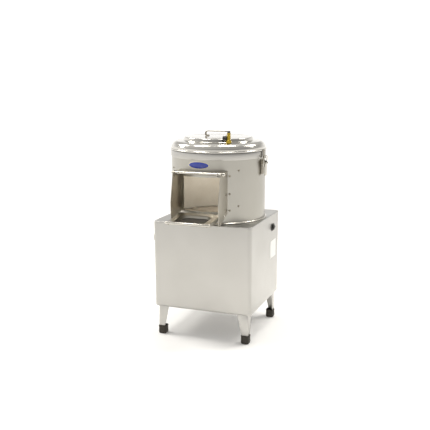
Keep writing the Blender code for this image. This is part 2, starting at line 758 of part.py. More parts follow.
def build_chute():
    """Cheeks, canopy, tie rod and its dome nuts."""
    front_top = (WALL_Y_AT_CHEEK - CHEEK_FRONT_TOP - CHEEK_FLANGE, CHEEK_TOP_Z)
    knee = (WALL_Y_AT_CHEEK - CHEEK_FRONT_KNEE - CHEEK_FLANGE, CHEEK_TOP_Z - CHEEK_KNEE_DROP)
    front_bottom = (WALL_Y_AT_CHEEK - CHEEK_FRONT_BOTTOM - CHEEK_FLANGE, CABINET_TOP_Z + CHEEK_FOOT)
    heel = (WALL_Y_AT_CHEEK, CABINET_TOP_Z + CHEEK_HEEL)
    behind = -DRUM_RADIUS / 2
    outline = [(behind, CHEEK_TOP_Z), front_top, knee, front_bottom, heel, (behind, heel[1])]
    flange_radius = DRUM_RADIUS + FIT + SHEET / 2
    start = math.asin((CHEEK_X + SHEET / 2) / flange_radius)
    end = start + CHEEK_FLANGE / flange_radius
    rod_y = front_top[0] + TIE_ROD_SETBACK
    rod_z = CHEEK_TOP_Z - TIE_ROD_DROP
    front_path_y = min(knee[0], front_bottom[0]) - OVERRUN
    for side, sign in (("left", -1), ("right", 1)):
        path = [(sign * (CHEEK_X + SHEET / 2), front_path_y)]
        for index in range(ARC_STEPS + 1):
            angle = start + (end - start) * index / ARC_STEPS
            path.append((sign * flange_radius * math.sin(angle), -flange_radius * math.cos(angle)))
        cheek = wall(
            f"chute_cheek_{side}", path, CABINET_TOP_Z, CHEEK_TOP_Z + OVERRUN, SHEET, STAINLESS, MACHINE
        )
        middle = sign * (CHEEK_X + CHEEK_FLANGE / 2)
        shape = side_prism(
            f"cheek_shape_{side}", outline, middle - CHEEK_FLANGE, middle + CHEEK_FLANGE, None, MACHINE
        )
        boolean(cheek, shape, "INTERSECT")
        hole = rod(
            f"tie_hole_{side}", TIE_ROD_RADIUS + FIT, middle - CHEEK_FLANGE, middle + CHEEK_FLANGE, 0,
            (0, rod_y, rod_z), None, MACHINE,
        )
        pin_hole = rod(
            f"pin_hole_{side}", DOOR_PIN_RADIUS + FIT, middle - CHEEK_FLANGE, middle + CHEEK_FLANGE, 0,
            (0, HINGE_Y, HINGE_Z), None, MACHINE,
        )
        cut(cheek, hole, pin_hole)

        face = CHEEK_X + SHEET + FIT
        tip = face + TIE_NUT_LENGTH
        bore = TIE_ROD_RADIUS + FIT
        bore_end = face + TIE_NUT_BORE_DEPTH
        shoulder = tip - TIE_NUT_RADIUS / 2
        profile = [
            (0, tip),
            (TIE_NUT_RADIUS / 2, tip - TIE_NUT_RADIUS / 8),
            (TIE_NUT_RADIUS, shoulder),
            (TIE_NUT_RADIUS, face),
            (bore, face),
            (bore, bore_end),
            (0, bore_end),
        ]
        turned(
            f"tie_rod_nut_{side}", profile, POLISHED, MACHINE, closed=False, steps=SMALL_STEPS,
            centre=(0, rod_y, rod_z), turn=(0, sign * math.pi / 2, 0),
        )

    rod_end = CHEEK_X + SHEET + TIE_ROD_END
    collar_in = CHEEK_X - TIE_COLLAR_INSET - TIE_COLLAR_WIDTH
    collar_out = CHEEK_X - TIE_COLLAR_INSET
    half_profile = [
        (TIE_ROD_RADIUS, rod_end),
        (TIE_ROD_RADIUS, collar_out),
        (TIE_COLLAR_RADIUS, collar_out),
        (TIE_COLLAR_RADIUS, collar_in),
        (TIE_ROD_RADIUS, collar_in),
    ]
    mirrored = [(radius, -height) for radius, height in reversed(half_profile)]
    profile = [(0, rod_end), *half_profile, *mirrored, (0, -rod_end)]
    turned(
        "chute_tie_rod", profile, POLISHED, MACHINE, closed=False, steps=SMALL_STEPS,
        centre=(0, rod_y, rod_z), turn=(0, math.pi / 2, 0),
    )

    canopy_half = CHEEK_X - FIT
    canopy_front = rod_y + TIE_COLLAR_RADIUS + FIT
    wall_radius = DRUM_RADIUS + FIT
    reach = math.asin(canopy_half / wall_radius)
    rear_edge = []
    for index in range(2 * ARC_STEPS + 1):
        angle = reach - 2 * reach * index / (2 * ARC_STEPS)
        rear_edge.append((wall_radius * math.sin(angle), -wall_radius * math.cos(angle)))
    outline = [*rear_edge, (-canopy_half, canopy_front), (canopy_half, canopy_front)]
    prism(
        "chute_canopy", [outline], CHEEK_TOP_Z - SHEET, CHEEK_TOP_Z, STAINLESS, MACHINE
    )


def dish_outline(half_width, rear_y, front_y, corner):
    """Outline of the dish of the door: square at the front, with round corners at the hinge."""
    quarter = math.pi / 2
    outline = [(-half_width, front_y), (half_width, front_y)]
    outline += arc((half_width - corner, rear_y - corner), corner, 0, quarter)
    outline += arc((corner - half_width, rear_y - corner), corner, quarter, 2 * quarter)
    return outline


def build_door():
    """Door panel with its dish, rubber pad, handle rod and the pin that it turns on."""
    hinge = frame_empty("door_hinge_axis", (0, HINGE_Y, HINGE_Z), MACHINE, slope=DOOR_SLOPE)
    plate_high = DOOR_KNUCKLE_RADIUS
    plate_low = plate_high - SHEET
    plate_front = DOOR_ROD_RADIUS + FIT - DOOR_LENGTH
    panel = block(
        "door_panel",
        (-DOOR_HALF_WIDTH, plate_front, plate_low),
        (DOOR_HALF_WIDTH, 0, plate_high),
        STAINLESS,
        hinge,
    )
    knuckle = rod(
        "door_knuckle", DOOR_KNUCKLE_RADIUS, -DOOR_HALF_WIDTH, DOOR_HALF_WIDTH, 0, (0, 0, 0), None, hinge
    )
    join(panel, knuckle)
    flange_low = plate_high - DOOR_FLANGE_DROP
    flange_outline = [
        (-DOOR_START, plate_high),
        (plate_front, plate_high),
        (plate_front, flange_low),
        (-DOOR_FLANGE_START, flange_low),
        (-DOOR_START, plate_low),
    ]
    for side, sign in (("left", -1), ("right", 1)):
        centre = sign * (DOOR_HALF_WIDTH - SHEET / 2)
        flange = side_prism(
            f"door_flange_{side}", flange_outline, centre - SHEET / 2, centre + SHEET / 2, None, hinge
        )
        join(panel, flange)
    lip = block(
        "door_lip",
        (-DOOR_HALF_WIDTH, plate_front, plate_low - DOOR_LIP),
        (DOOR_HALF_WIDTH, plate_front + SHEET, plate_high),
        None,
        hinge,
    )
    join(panel, lip)
    rear_y = -DISH_REAR_GAP
    front_y = -DOOR_LENGTH + DISH_FRONT_GAP
    tray_bottom = plate_low - DISH_DEPTH
    outer = dish_outline(DISH_HALF_WIDTH + SHEET, rear_y + SHEET, front_y - SHEET, DISH_CORNER + SHEET)
    inner = dish_outline(DISH_HALF_WIDTH, rear_y, front_y, DISH_CORNER)
    tray = prism("door_tray", [outer], tray_bottom, plate_low + SHEET / 2, None, hinge)
    tray_hollow = prism("door_tray_hollow", [inner], tray_bottom + SHEET, plate_high + OVERRUN, None, hinge)
    bore = rod(
        "door_knuckle_bore", DOOR_PIN_RADIUS + FIT, -CHEEK_X, CHEEK_X, 0, (0, 0, 0), None, hinge
    )
    join(panel, tray)
    cut(panel, tray_hollow, bore)

    pad_outline = dish_outline(DISH_HALF_WIDTH - FIT, rear_y - FIT, front_y + FIT, DISH_CORNER - FIT)
    pad_bottom = tray_bottom + SHEET + FIT
    prism("door_pad", [pad_outline], pad_bottom, pad_bottom + PAD_SHEET, BLACK_RUBBER, hinge)

    half = DOOR_ROD_HALF
    profile = [
        (0, half),
        (DOOR_ROD_RADIUS - DOOR_ROD_DOME, half),
        (DOOR_ROD_RADIUS, half - DOOR_ROD_DOME),
        (DOOR_ROD_RADIUS, DOOR_ROD_DOME - half),
        (DOOR_ROD_RADIUS - DOOR_ROD_DOME, -half),
        (0, -half),
    ]
    turned(
        "door_handle_rod", profile, POLISHED, hinge, closed=False, steps=SMALL_STEPS,
        centre=(0, -DOOR_LENGTH, DOOR_ROD_Z), turn=(0, math.pi / 2, 0),
    )
    pin_half = CHEEK_X + SHEET + HINGE_PIN_END
    rod(
        "door_hinge_pin", DOOR_PIN_RADIUS, -pin_half, pin_half, 0, (0, HINGE_Y, HINGE_Z), STEEL, MACHINE
    )


def lid_outline(inset):
    """Lid line from its centre to its rim, moved inwards by the inset."""
    drops = [
        (0, 0),
        (LID_TOP_RADIUS, 0),
        (LID_STEP_RADIUS, LID_STEP_DROP),
        (LID_LAND_RADIUS, LID_LAND_DROP),
        (LID_SHOULDER_RADIUS, LID_SHOULDER_DROP),
        (LID_WALL_RADIUS, LID_WALL_DROP),
    ]
    points = [Vector((radius, LID_TOP_Z - drop)) for radius, drop in drops]
    moved = []
    for index, point in enumerate(points):
        before = points[max(index - 1, 0)]
        after = points[min(index + 1, len(points) - 1)]
        along_in = (point - before).normalized() if index else (after - point).normalized()
        along_out = (after - point).normalized() if index < len(points) - 1 else along_in
        normal_in = Vector((along_in.y, -along_in.x))
        normal_out = Vector((along_out.y, -along_out.x))
        bisector = (normal_in + normal_out).normalized()
        shift = bisector * (inset / bisector.dot(normal_in))
        moved.append(point + shift)
    moved[0].x = 0
    return [tuple(point) for point in moved]


def build_lid():
    """Pressed lid, gasket, strap handle and latch catches."""
    outer = lid_outline(0)
    inner = lid_outline(SHEET)
    rim_top = LID_BOTTOM_Z + LID_RIM_HEIGHT
    rim_inner = LID_RIM_RADIUS - LID_RIM_WIDTH
    profile = [
        *outer,
        (LID_WALL_RADIUS, rim_top),
        (LID_RIM_RADIUS, rim_top),
        (LID_RIM_RADIUS, LID_BOTTOM_Z),
        (rim_inner - SHEET / 2, LID_BOTTOM_Z),
        (rim_inner - SHEET / 2, rim_top),
        *reversed(inner),
    ]
    lid = turned("lid_pan", profile, POLISHED, MACHINE, closed=False)
    inlet = inlet_place()
    stem_hole = rod(
        "stem_hole", INLET_STEM_RADIUS + FIT, LID_TOP_Z - LID_HEIGHT, LID_TOP_Z + OVERRUN, 2, inlet, None,
        MACHINE,
    )
    cut(lid, stem_hole)
    turned(
        "lid_gasket",
        ring(GASKET_INNER, GASKET_INNER + GASKET_WIDTH, DRUM_TOP_Z + FIT, DRUM_TOP_Z + FIT + GASKET_HEIGHT),
        BLACK_RUBBER,
        MACHINE,
    )

    half = HANDLE_LENGTH / 2 - HANDLE_STRAP / 2
    foot = HANDLE_STRAP / 2
    top = HANDLE_RISE - HANDLE_STRAP / 2
    bend = (half - HANDLE_BEND, top - HANDLE_BEND)
    half_path = [(half - HANDLE_FOOT, foot), (half, foot)]
    half_path += arc(bend, HANDLE_BEND, 0, math.pi / 2)
    path = half_path + [(-x, z) for x, z in reversed(half_path)]
    handle = wall(
        "lid_handle", path, -HANDLE_WIDTH / 2, HANDLE_WIDTH / 2, HANDLE_STRAP, POLISHED, MACHINE
    )
    handle.rotation_euler = (math.pi / 2, 0, 0)
    handle.location = (HANDLE_OFFSET, 0, LID_TOP_Z + FIT)


def inlet_place():
    """Centre of the water inlet on the lid."""
    return (
        INLET_RADIUS_ON_LID * math.sin(INLET_AZIMUTH),
        -INLET_RADIUS_ON_LID * math.cos(INLET_AZIMUTH),
        0,
    )


def land_drop(radius):
    """How far the sloping land of the lid lies below its top at a radius."""
    share = (radius - LID_STEP_RADIUS) / (LID_LAND_RADIUS - LID_STEP_RADIUS)
    return LID_STEP_DROP + share * (LID_LAND_DROP - LID_STEP_DROP)


def build_inlet():
    """Brass inlet, its union, the spray nozzle below the lid and the turning cap."""
    x, y, _ = inlet_place()
    seat_drop = land_drop(INLET_RADIUS_ON_LID - INLET_FLANGE_RADIUS) - FIT
    seat = LID_TOP_Z - seat_drop
    place = frame_empty("inlet_axis", (x, y, seat), MACHINE)
    profile = [
        (0, INLET_BODY_HEIGHT),
        (INLET_BODY_RADIUS, INLET_BODY_HEIGHT),
        (INLET_BODY_RADIUS, INLET_FLANGE_HEIGHT),
        (INLET_FLANGE_RADIUS, INLET_FLANGE_HEIGHT),
        (INLET_FLANGE_RADIUS, 0),
        (INLET_STEM_RADIUS, 0),
        (INLET_STEM_RADIUS, -INLET_STEM_DEPTH),
        (INLET_BORE, -INLET_STEM_DEPTH),
        (INLET_BORE, UNION_HEIGHT),
        (0, UNION_HEIGHT),
    ]
    body = turned("water_inlet_body", profile, BRASS, place, closed=False, steps=SMALL_STEPS)
    union_start = INLET_BODY_RADIUS + FIT
    side_bore = rod(
        "inlet_side_bore", INLET_BORE, -union_start - OVERRUN, 0, 0, (0, 0, UNION_HEIGHT - INLET_BORE), None,
        place,
    )
    cut(body, side_bore)
    union_profile = ring(UNION_BORE, UNION_RADIUS, union_start, union_start + UNION_LENGTH)
    turned(
        "inlet_union", union_profile, BLACK_PLASTIC, place, steps=SMALL_STEPS,
        centre=(0, 0, UNION_HEIGHT), turn=(0, -math.pi / 2, 0),
    )
    nozzle_top = seat_drop - land_drop(INLET_RADIUS_ON_LID + NOZZLE_RADIUS) - SHEET - 2 * FIT
    nozzle_profile = [
        (INLET_STEM_RADIUS + FIT, nozzle_top),
        (NOZZLE_RADIUS, nozzle_top),
        (NOZZLE_RADIUS, nozzle_top - NOZZLE_HEIGHT),
        (INLET_STEM_RADIUS + FIT, nozzle_top - NOZZLE_HEIGHT),
    ]
    turned("spray_nozzle", nozzle_profile, BRASS, place, steps=SMALL_STEPS)

    cap_low = INLET_BODY_HEIGHT + FIT
    cap_high = cap_low + CAP_HEIGHT
    cap_profile = [
        (0, cap_high),
        (CAP_RADIUS, cap_high),
        (CAP_RADIUS, cap_low),
        (0, cap_low),
    ]
    cap = turned("tap_lever", cap_profile, GREY_PLASTIC, place, closed=False, steps=SMALL_STEPS)
    arm = block(
        "tap_arm",
        (-CAP_LEVER_LENGTH, -CAP_LEVER_WIDTH / 2, cap_low + CAP_LEVER_HEIGHT / 2),
        (0, CAP_LEVER_WIDTH / 2, cap_low + CAP_LEVER_HEIGHT * 3 / 2),
        None,
        place,
    )
    join(cap, arm)


def build_latch(side, azimuth):
    """Toggle latch: base with ears on the drum, lever, wire loop, and the catch on the lid."""
    wall_frame = frame_empty(
        f"latch_frame_{side}", (DRUM_RADIUS * math.sin(azimuth), -DRUM_RADIUS * math.cos(azimuth), 0),
        MACHINE, azimuth - math.pi / 2,
    )
    # In this frame local X points out of the drum and local Y runs along its wall.
    pivot = (LATCH_PIVOT_OUT, DRUM_TOP_Z - LATCH_PIVOT_DROP)
    base_top = DRUM_TOP_Z - LATCH_BASE_TOP
    sheet_in = 2 * FIT
    sheet_out = sheet_in + LATCH_BASE_SHEET
    base = block(
        f"latch_base_{side}",
        (sheet_in, -LATCH_BASE_WIDTH / 2, base_top - LATCH_BASE_LENGTH),
        (sheet_out, LATCH_BASE_WIDTH / 2, base_top),
        STAINLESS,
        wall_frame,
    )
    ear_low = pivot[1] - LATCH_EAR_BOTTOM
    ear_outline = arc(pivot, LATCH_EAR_RADIUS, -math.pi / 3, math.pi / 2)
    ear_outline += [(sheet_in + sheet_out / 2, base_top - FIT), (sheet_in + sheet_out / 2, ear_low)]
    pin_hole_half = LATCH_BASE_WIDTH
    pin_hole = rod(
        f"latch_pin_hole_{side}", LATCH_PIN_RADIUS + FIT, -pin_hole_half, pin_hole_half, 1,
        (pivot[0], 0, pivot[1]), None, wall_frame,
    )
    for ear_sign in (-1, 1):
        near = ear_sign * LATCH_EAR_X
        far = ear_sign * (LATCH_EAR_X + LATCH_EAR_SHEET)
        ear = prism(
            f"latch_ear_{side}_{ear_sign}", [ear_outline], -max(near, far), -min(near, far), None,
            wall_frame, (math.pi / 2, 0, 0),
        )
        join(base, ear)
    cut(base, pin_hole)

    lever_frame = frame_empty(f"latch_pivot_{side}", (pivot[0], 0, pivot[1]), wall_frame)
    loop_x = -LOOP_PIVOT_IN
    loop_z = -LOOP_PIVOT_DOWN
    root_out = LEVER_ROOT / 4
    root_in = root_out - LEVER_ROOT
    lever_outline = [
        (root_out, 0),
        (root_in, 0),
        (root_in, loop_z - LOOP_WIRE * 2),
        (LEVER_TIP_OUT - LEVER_TIP, -LEVER_LENGTH),
        (LEVER_TIP_OUT, -LEVER_LENGTH),
        (root_out, loop_z - LOOP_WIRE * 2),
    ]
    lever = prism(
        f"latch_lever_{side}", [lever_outline], -LEVER_HALF_WIDTH, LEVER_HALF_WIDTH, STAINLESS, lever_frame,
        (math.pi / 2, 0, 0),
    )
    barrel = rod(
        f"latch_barrel_{side}", LATCH_BARREL_RADIUS, -LEVER_HALF_WIDTH, LEVER_HALF_WIDTH, 1, (0, 0, 0), None,
        lever_frame,
    )
    pin_half = LATCH_EAR_X + LATCH_EAR_SHEET + FIT + LATCH_PIN_HEAD
    pin = rod(
        f"latch_pin_{side}", LATCH_PIN_RADIUS, -pin_half, pin_half, 1, (0, 0, 0), None, lever_frame
    )
    wire_hole = rod(
        f"latch_wire_hole_{side}", LOOP_WIRE + FIT, -LATCH_BASE_WIDTH, LATCH_BASE_WIDTH, 1,
        (loop_x, 0, loop_z), None, lever_frame,
    )
    join(lever, barrel, pin)
    cut(lever, wire_hole)

    loop_frame = frame_empty(f"loop_pivot_{side}", (loop_x, 0, loop_z), lever_frame)
    half = LOOP_HALF_WIDTH
    corners = rounded_rectangle(half, LOOP_HEIGHT / 2, LOOP_BEND)
    wire = bpy.data.curves.new(f"latch_loop_{side}", "CURVE")
    wire.dimensions = "3D"
    wire.bevel_depth = LOOP_WIRE
    wire.bevel_resolution = 2
    spline = wire.splines.new("POLY")
    spline.points.add(len(corners) - 1)
    for point, (along, up) in zip(spline.points, corners):
        rise = up + LOOP_HEIGHT / 2
        point.co = (LOOP_LEAN * rise / LOOP_HEIGHT, along, rise, 1)
    spline.use_cyclic_u = True
    add_object(f"latch_loop_{side}", wire, POLISHED, loop_frame)

    # The lip of the catch ends just inside the bar of the loop, so the lid can lift past it.
    bar_x = LATCH_PIVOT_OUT - LOOP_PIVOT_IN + LOOP_LEAN - LOOP_WIRE
    plate_in = LID_RIM_RADIUS - DRUM_RADIUS + FIT
    plate_out = plate_in + CATCH_SHEET
    lip_out = bar_x - CATCH_CLEARANCE
    bottom = DRUM_TOP_Z - CATCH_DROP
    catch_outline = [
        (plate_in, LID_BOTTOM_Z + CATCH_RISE),
        (plate_in, bottom),
        (lip_out, bottom),
        (lip_out, bottom + CATCH_LIP_RISE),
        (lip_out - CATCH_SHEET, bottom + CATCH_LIP_RISE),
        (lip_out - CATCH_SHEET, bottom + CATCH_SHEET),
        (plate_out, bottom + CATCH_SHEET),
        (plate_out, LID_BOTTOM_Z + CATCH_RISE),
    ]
    prism(
        f"lid_catch_{side}", [catch_outline], -CATCH_HALF_WIDTH, CATCH_HALF_WIDTH, STAINLESS, wall_frame,
        (math.pi / 2, 0, 0),
    )


def build_wet_side():
    """Waste pan below the disc and its drain pipe."""
    flange_inner = TOP_OPENING_RADIUS
    outer_top = flange_inner + SHEET
    hub_radius = HOUSING_RADIUS + PAN_HUB_CLEARANCE
    shoulder_z = PAN_TOP_Z - PAN_SHOULDER
    profile = [
        (flange_inner, PAN_TOP_Z),
        (PAN_FLANGE_RADIUS, PAN_TOP_Z),
        (PAN_FLANGE_RADIUS, PAN_TOP_Z - SHEET),
        (outer_top, PAN_TOP_Z - SHEET),
        (PAN_RADIUS, shoulder_z),
        (PAN_RADIUS, PAN_BOTTOM_Z),
        (hub_radius, PAN_BOTTOM_Z),
        (hub_radius, PAN_BOTTOM_Z + SHEET),
        (PAN_RADIUS - SHEET, PAN_BOTTOM_Z + SHEET),
        (PAN_RADIUS - SHEET, shoulder_z),
    ]
    pan = turned("waste_pan", profile, STAINLESS, MACHINE)
    drain_z = PAN_TOP_Z - DRAIN_DROP
    # The pipe meets the round pan off its middle, so its end is cut to the pan's wall.
    near_x = -math.sqrt(PAN_RADIUS**2 - (abs(DRAIN_AXIS_Y) + DRAIN_RADIUS) ** 2)
    outlet = rod(
        "pan_outlet", DRAIN_BORE, -PAN_RADIUS, near_x + DRAIN_BORE, 0, (0, DRAIN_AXIS_Y, drain_z), None,
        MACHINE, MEDIUM_STEPS,
    )
    cut(pan, outlet)
    pipe_end = CABINET_WIDTH / 2 + DRAIN_STUB
    pipe = turned(
        "drain_pipe", ring(DRAIN_BORE, DRAIN_RADIUS, -near_x - DRAIN_BORE, pipe_end), GREY_PLASTIC, MACHINE,
        steps=MEDIUM_STEPS, centre=(0, DRAIN_AXIS_Y, drain_z), turn=(0, -math.pi / 2, 0),
    )
    saddle_radius = PAN_RADIUS + FIT
    saddle = turned(
        "pipe_saddle",
        [(0, PAN_TOP_Z), (saddle_radius, PAN_TOP_Z), (saddle_radius, PAN_BOTTOM_Z), (0, PAN_BOTTOM_Z)],
        None,
        MACHINE,
        closed=False,
    )
    cut(pipe, saddle)


def build_disc():
    """Abrasive disc with its waves, on the main shaft with the large pulley."""
    axis = frame_empty("disc_axis", (0, 0, 0), MACHINE)
    disc_low = DISC_TOP_Z - DISC_SHEET
    bore = SHAFT_RADIUS + FIT
    bore_top = DISC_TOP_Z - DISC_CAP
    profile = [
        (0, DISC_TOP_Z),
        (DISC_RADIUS, DISC_TOP_Z),
        (DISC_RADIUS, disc_low),
        (DISC_HUB_RADIUS, disc_low),
        (DISC_HUB_RADIUS, HUB_BOTTOM_Z),
        (bore, HUB_BOTTOM_Z),
        (bore, bore_top),
        (0, bore_top),
    ]
    disc = turned("abrasive_disc", profile, ABRASIVE, axis, closed=False)
    wave_outline = arc((0, 0), 1, 0, math.pi, 2 * ARC_STEPS)
    scaled = [
        (WAVE_HALF_WIDTH * across, DISC_TOP_Z - DISC_SHEET / 2 + (WAVE_HEIGHT + DISC_SHEET / 2) * up)
        for across, up in wave_outline
    ]
    for index in range(WAVE_COUNT):
        wave = prism(
            f"disc_wave_{index}", [scaled], WAVE_INNER_RADIUS, WAVE_OUTER_RADIUS, None, axis,
            (math.pi / 2, 0, 2 * math.pi * index / WAVE_COUNT),
        )
        join(disc, wave)
    shaft_top = bore_top - FIT
    shaft_bottom = PULLEY_Z - SHAFT_TAIL
    rod("main_shaft", SHAFT_RADIUS, shaft_bottom, shaft_top, 2, (0, 0, 0), STEEL, axis)
    turned(
        "large_pulley", pulley_profile(PULLEY_RADIUS, SHAFT_RADIUS + FIT, PULLEY_HUB_RADIUS),
        CAST_ALUMINIUM, axis, steps=MEDIUM_STEPS,
    )


def pulley_profile(radius, bore, hub_radius):
    """Grooved rim, web and hub of a pulley."""
    top = PULLEY_Z + PULLEY_WIDTH
    low = PULLEY_Z
    groove = radius - PULLEY_GROOVE
    rim_inner = max(groove - PULLEY_RIM, hub_radius)
    profile = [
        (bore, top),
        (hub_radius, top),
        (hub_radius, PULLEY_MID_Z + PULLEY_WEB / 2),
        (rim_inner, PULLEY_MID_Z + PULLEY_WEB / 2),
        (rim_inner, top),
        (radius, top),
        (radius, top - PULLEY_FLANGE),
        (groove, top - PULLEY_FLANGE),
        (groove, low + PULLEY_FLANGE),
        (radius, low + PULLEY_FLANGE),
        (radius, low),
        (rim_inner, low),
        (rim_inner, PULLEY_MID_Z - PULLEY_WEB / 2),
        (hub_radius, PULLEY_MID_Z - PULLEY_WEB / 2),
        (hub_radius, low),
        (bore, low),
    ]
    if rim_inner > hub_radius:
        return profile
    return [
        (bore, top),
        (radius, top),
        (radius, top - PULLEY_FLANGE),
        (groove, top - PULLEY_FLANGE),
        (groove, low + PULLEY_FLANGE),
        (radius, low + PULLEY_FLANGE),
        (radius, low),
        (bore, low),
    ]


def build_bearings():
    """Bearing housing below the pan, its two bearings and the shaft seal."""
    flange_top = PAN_BOTTOM_Z - FIT
    bearing_radius = HOUSING_RADIUS - HOUSING_WALL
    land_radius = bearing_radius - HOUSING_SHOULDER
    upper_land = HOUSING_TOP_Z - BEARING_HEIGHT - FIT
    lower_land = HOUSING_BOTTOM_Z + BEARING_HEIGHT + FIT
    profile = [
        (bearing_radius, HOUSING_TOP_Z),
        (HOUSING_RADIUS, HOUSING_TOP_Z),
        (HOUSING_RADIUS, flange_top),
        (HOUSING_FLANGE_RADIUS, flange_top),
        (HOUSING_FLANGE_RADIUS, flange_top - HOUSING_FLANGE_HEIGHT),
        (HOUSING_RADIUS, flange_top - HOUSING_FLANGE_HEIGHT),
        (HOUSING_RADIUS, HOUSING_BOTTOM_Z),
        (bearing_radius, HOUSING_BOTTOM_Z),
        (bearing_radius, lower_land),
        (land_radius, lower_land),
        (land_radius, upper_land),
        (bearing_radius, upper_land),
    ]
    turned("bearing_housing", profile, CAST_ALUMINIUM, MACHINE, steps=MEDIUM_STEPS)
    inner = SHAFT_RADIUS + SHAFT_CLEARANCE
    outer = bearing_radius - FIT
    turned(
        "upper_bearing", ring(inner, outer, HOUSING_TOP_Z - BEARING_HEIGHT, HOUSING_TOP_Z), STEEL, MACHINE,
        steps=MEDIUM_STEPS,
    )
    turned(
        "lower_bearing", ring(inner, outer, HOUSING_BOTTOM_Z, HOUSING_BOTTOM_Z + BEARING_HEIGHT), STEEL,
        MACHINE, steps=MEDIUM_STEPS,
    )
    seal_low = HOUSING_TOP_Z + FIT
    turned(
        "shaft_seal", ring(inner, HOUSING_RADIUS, seal_low, seal_low + SEAL_HEIGHT), BLACK_RUBBER, MACHINE,
        steps=MEDIUM_STEPS,
    )


def build_motor():
    """Motor on its bracket, with shaft, pulley and the belt to the large pulley."""
    place = frame_empty("motor_axis", (0, MOTOR_AXIS_Y, 0), MACHINE)
    bracket_low = BASE_PLATE_Z
    bracket_top = bracket_low + BRACKET_HEIGHT
    path = [
        (-BRACKET_HALF_WIDTH + BRACKET_SHEET / 2, bracket_low),
        (-BRACKET_HALF_WIDTH + BRACKET_SHEET / 2, bracket_top - BRACKET_SHEET / 2),
        (BRACKET_HALF_WIDTH - BRACKET_SHEET / 2, bracket_top - BRACKET_SHEET / 2),
        (BRACKET_HALF_WIDTH - BRACKET_SHEET / 2, bracket_low),
    ]
    bracket = wall(
        "motor_bracket", path, -MOTOR_FLANGE_RADIUS, MOTOR_FLANGE_RADIUS, BRACKET_SHEET, STAINLESS, place
    )
    bracket.rotation_euler = (math.pi / 2, 0, 0)
    shaft_hole = rod(
        "bracket_hole", BRACKET_HOLE, bracket_top - OVERRUN, bracket_top + OVERRUN, 2, (0, 0, 0), None, place
    )
    cut(bracket, shaft_hole)

    low = bracket_top + FIT
    flange_top = low + MOTOR_FLANGE_HEIGHT
    cap_top = PAN_BOTTOM_Z - MOTOR_TOP_GAP
    body_top = cap_top - MOTOR_CAP_HEIGHT
    bore = MOTOR_SHAFT_RADIUS + FIT
    bore_top = low + MOTOR_SHAFT_DEPTH + FIT
    profile = [
        (0, cap_top),
        (MOTOR_CAP_RADIUS, cap_top),
        (MOTOR_CAP_RADIUS, body_top),
        (MOTOR_RADIUS, body_top),
        (MOTOR_RADIUS, flange_top),
        (MOTOR_FLANGE_RADIUS, flange_top),
        (MOTOR_FLANGE_RADIUS, low),
        (bore, low),
        (bore, bore_top),
        (0, bore_top),
    ]
    turned("motor_body", profile, MOTOR_PAINT, place, closed=False, steps=MEDIUM_STEPS)
    rod(
        "motor_shaft", MOTOR_SHAFT_RADIUS, PULLEY_Z - MOTOR_SHAFT_TAIL, low + MOTOR_SHAFT_DEPTH, 2,
        (0, 0, 0), STEEL, place,
    )
    turned(
        "motor_pulley",
        pulley_profile(MOTOR_PULLEY_RADIUS, MOTOR_SHAFT_RADIUS + FIT, MOTOR_PULLEY_RADIUS),
        CAST_ALUMINIUM, place, steps=MEDIUM_STEPS,
    )

    large = PULLEY_RADIUS - PULLEY_GROOVE + 2 * FIT
    small = MOTOR_PULLEY_RADIUS - PULLEY_GROOVE + 2 * FIT
    prism(
        "drive_belt",
        [belt_outline(large + BELT_SHEET, small + BELT_SHEET), belt_outline(large, small)],
        PULLEY_MID_Z - BELT_HEIGHT / 2, PULLEY_MID_Z + BELT_HEIGHT / 2, BLACK_RUBBER, MACHINE,
    )


def belt_outline(large, small):
    """Outline round the large pulley on the origin and the small one behind it."""
    lean = math.asin((large - small) / MOTOR_AXIS_Y)
    back = arc((0, MOTOR_AXIS_Y), small, lean, math.pi - lean, 2 * ARC_STEPS)
    front = arc((0, 0), large, math.pi - lean, 2 * math.pi + lean, 5 * ARC_STEPS)
    return back + front


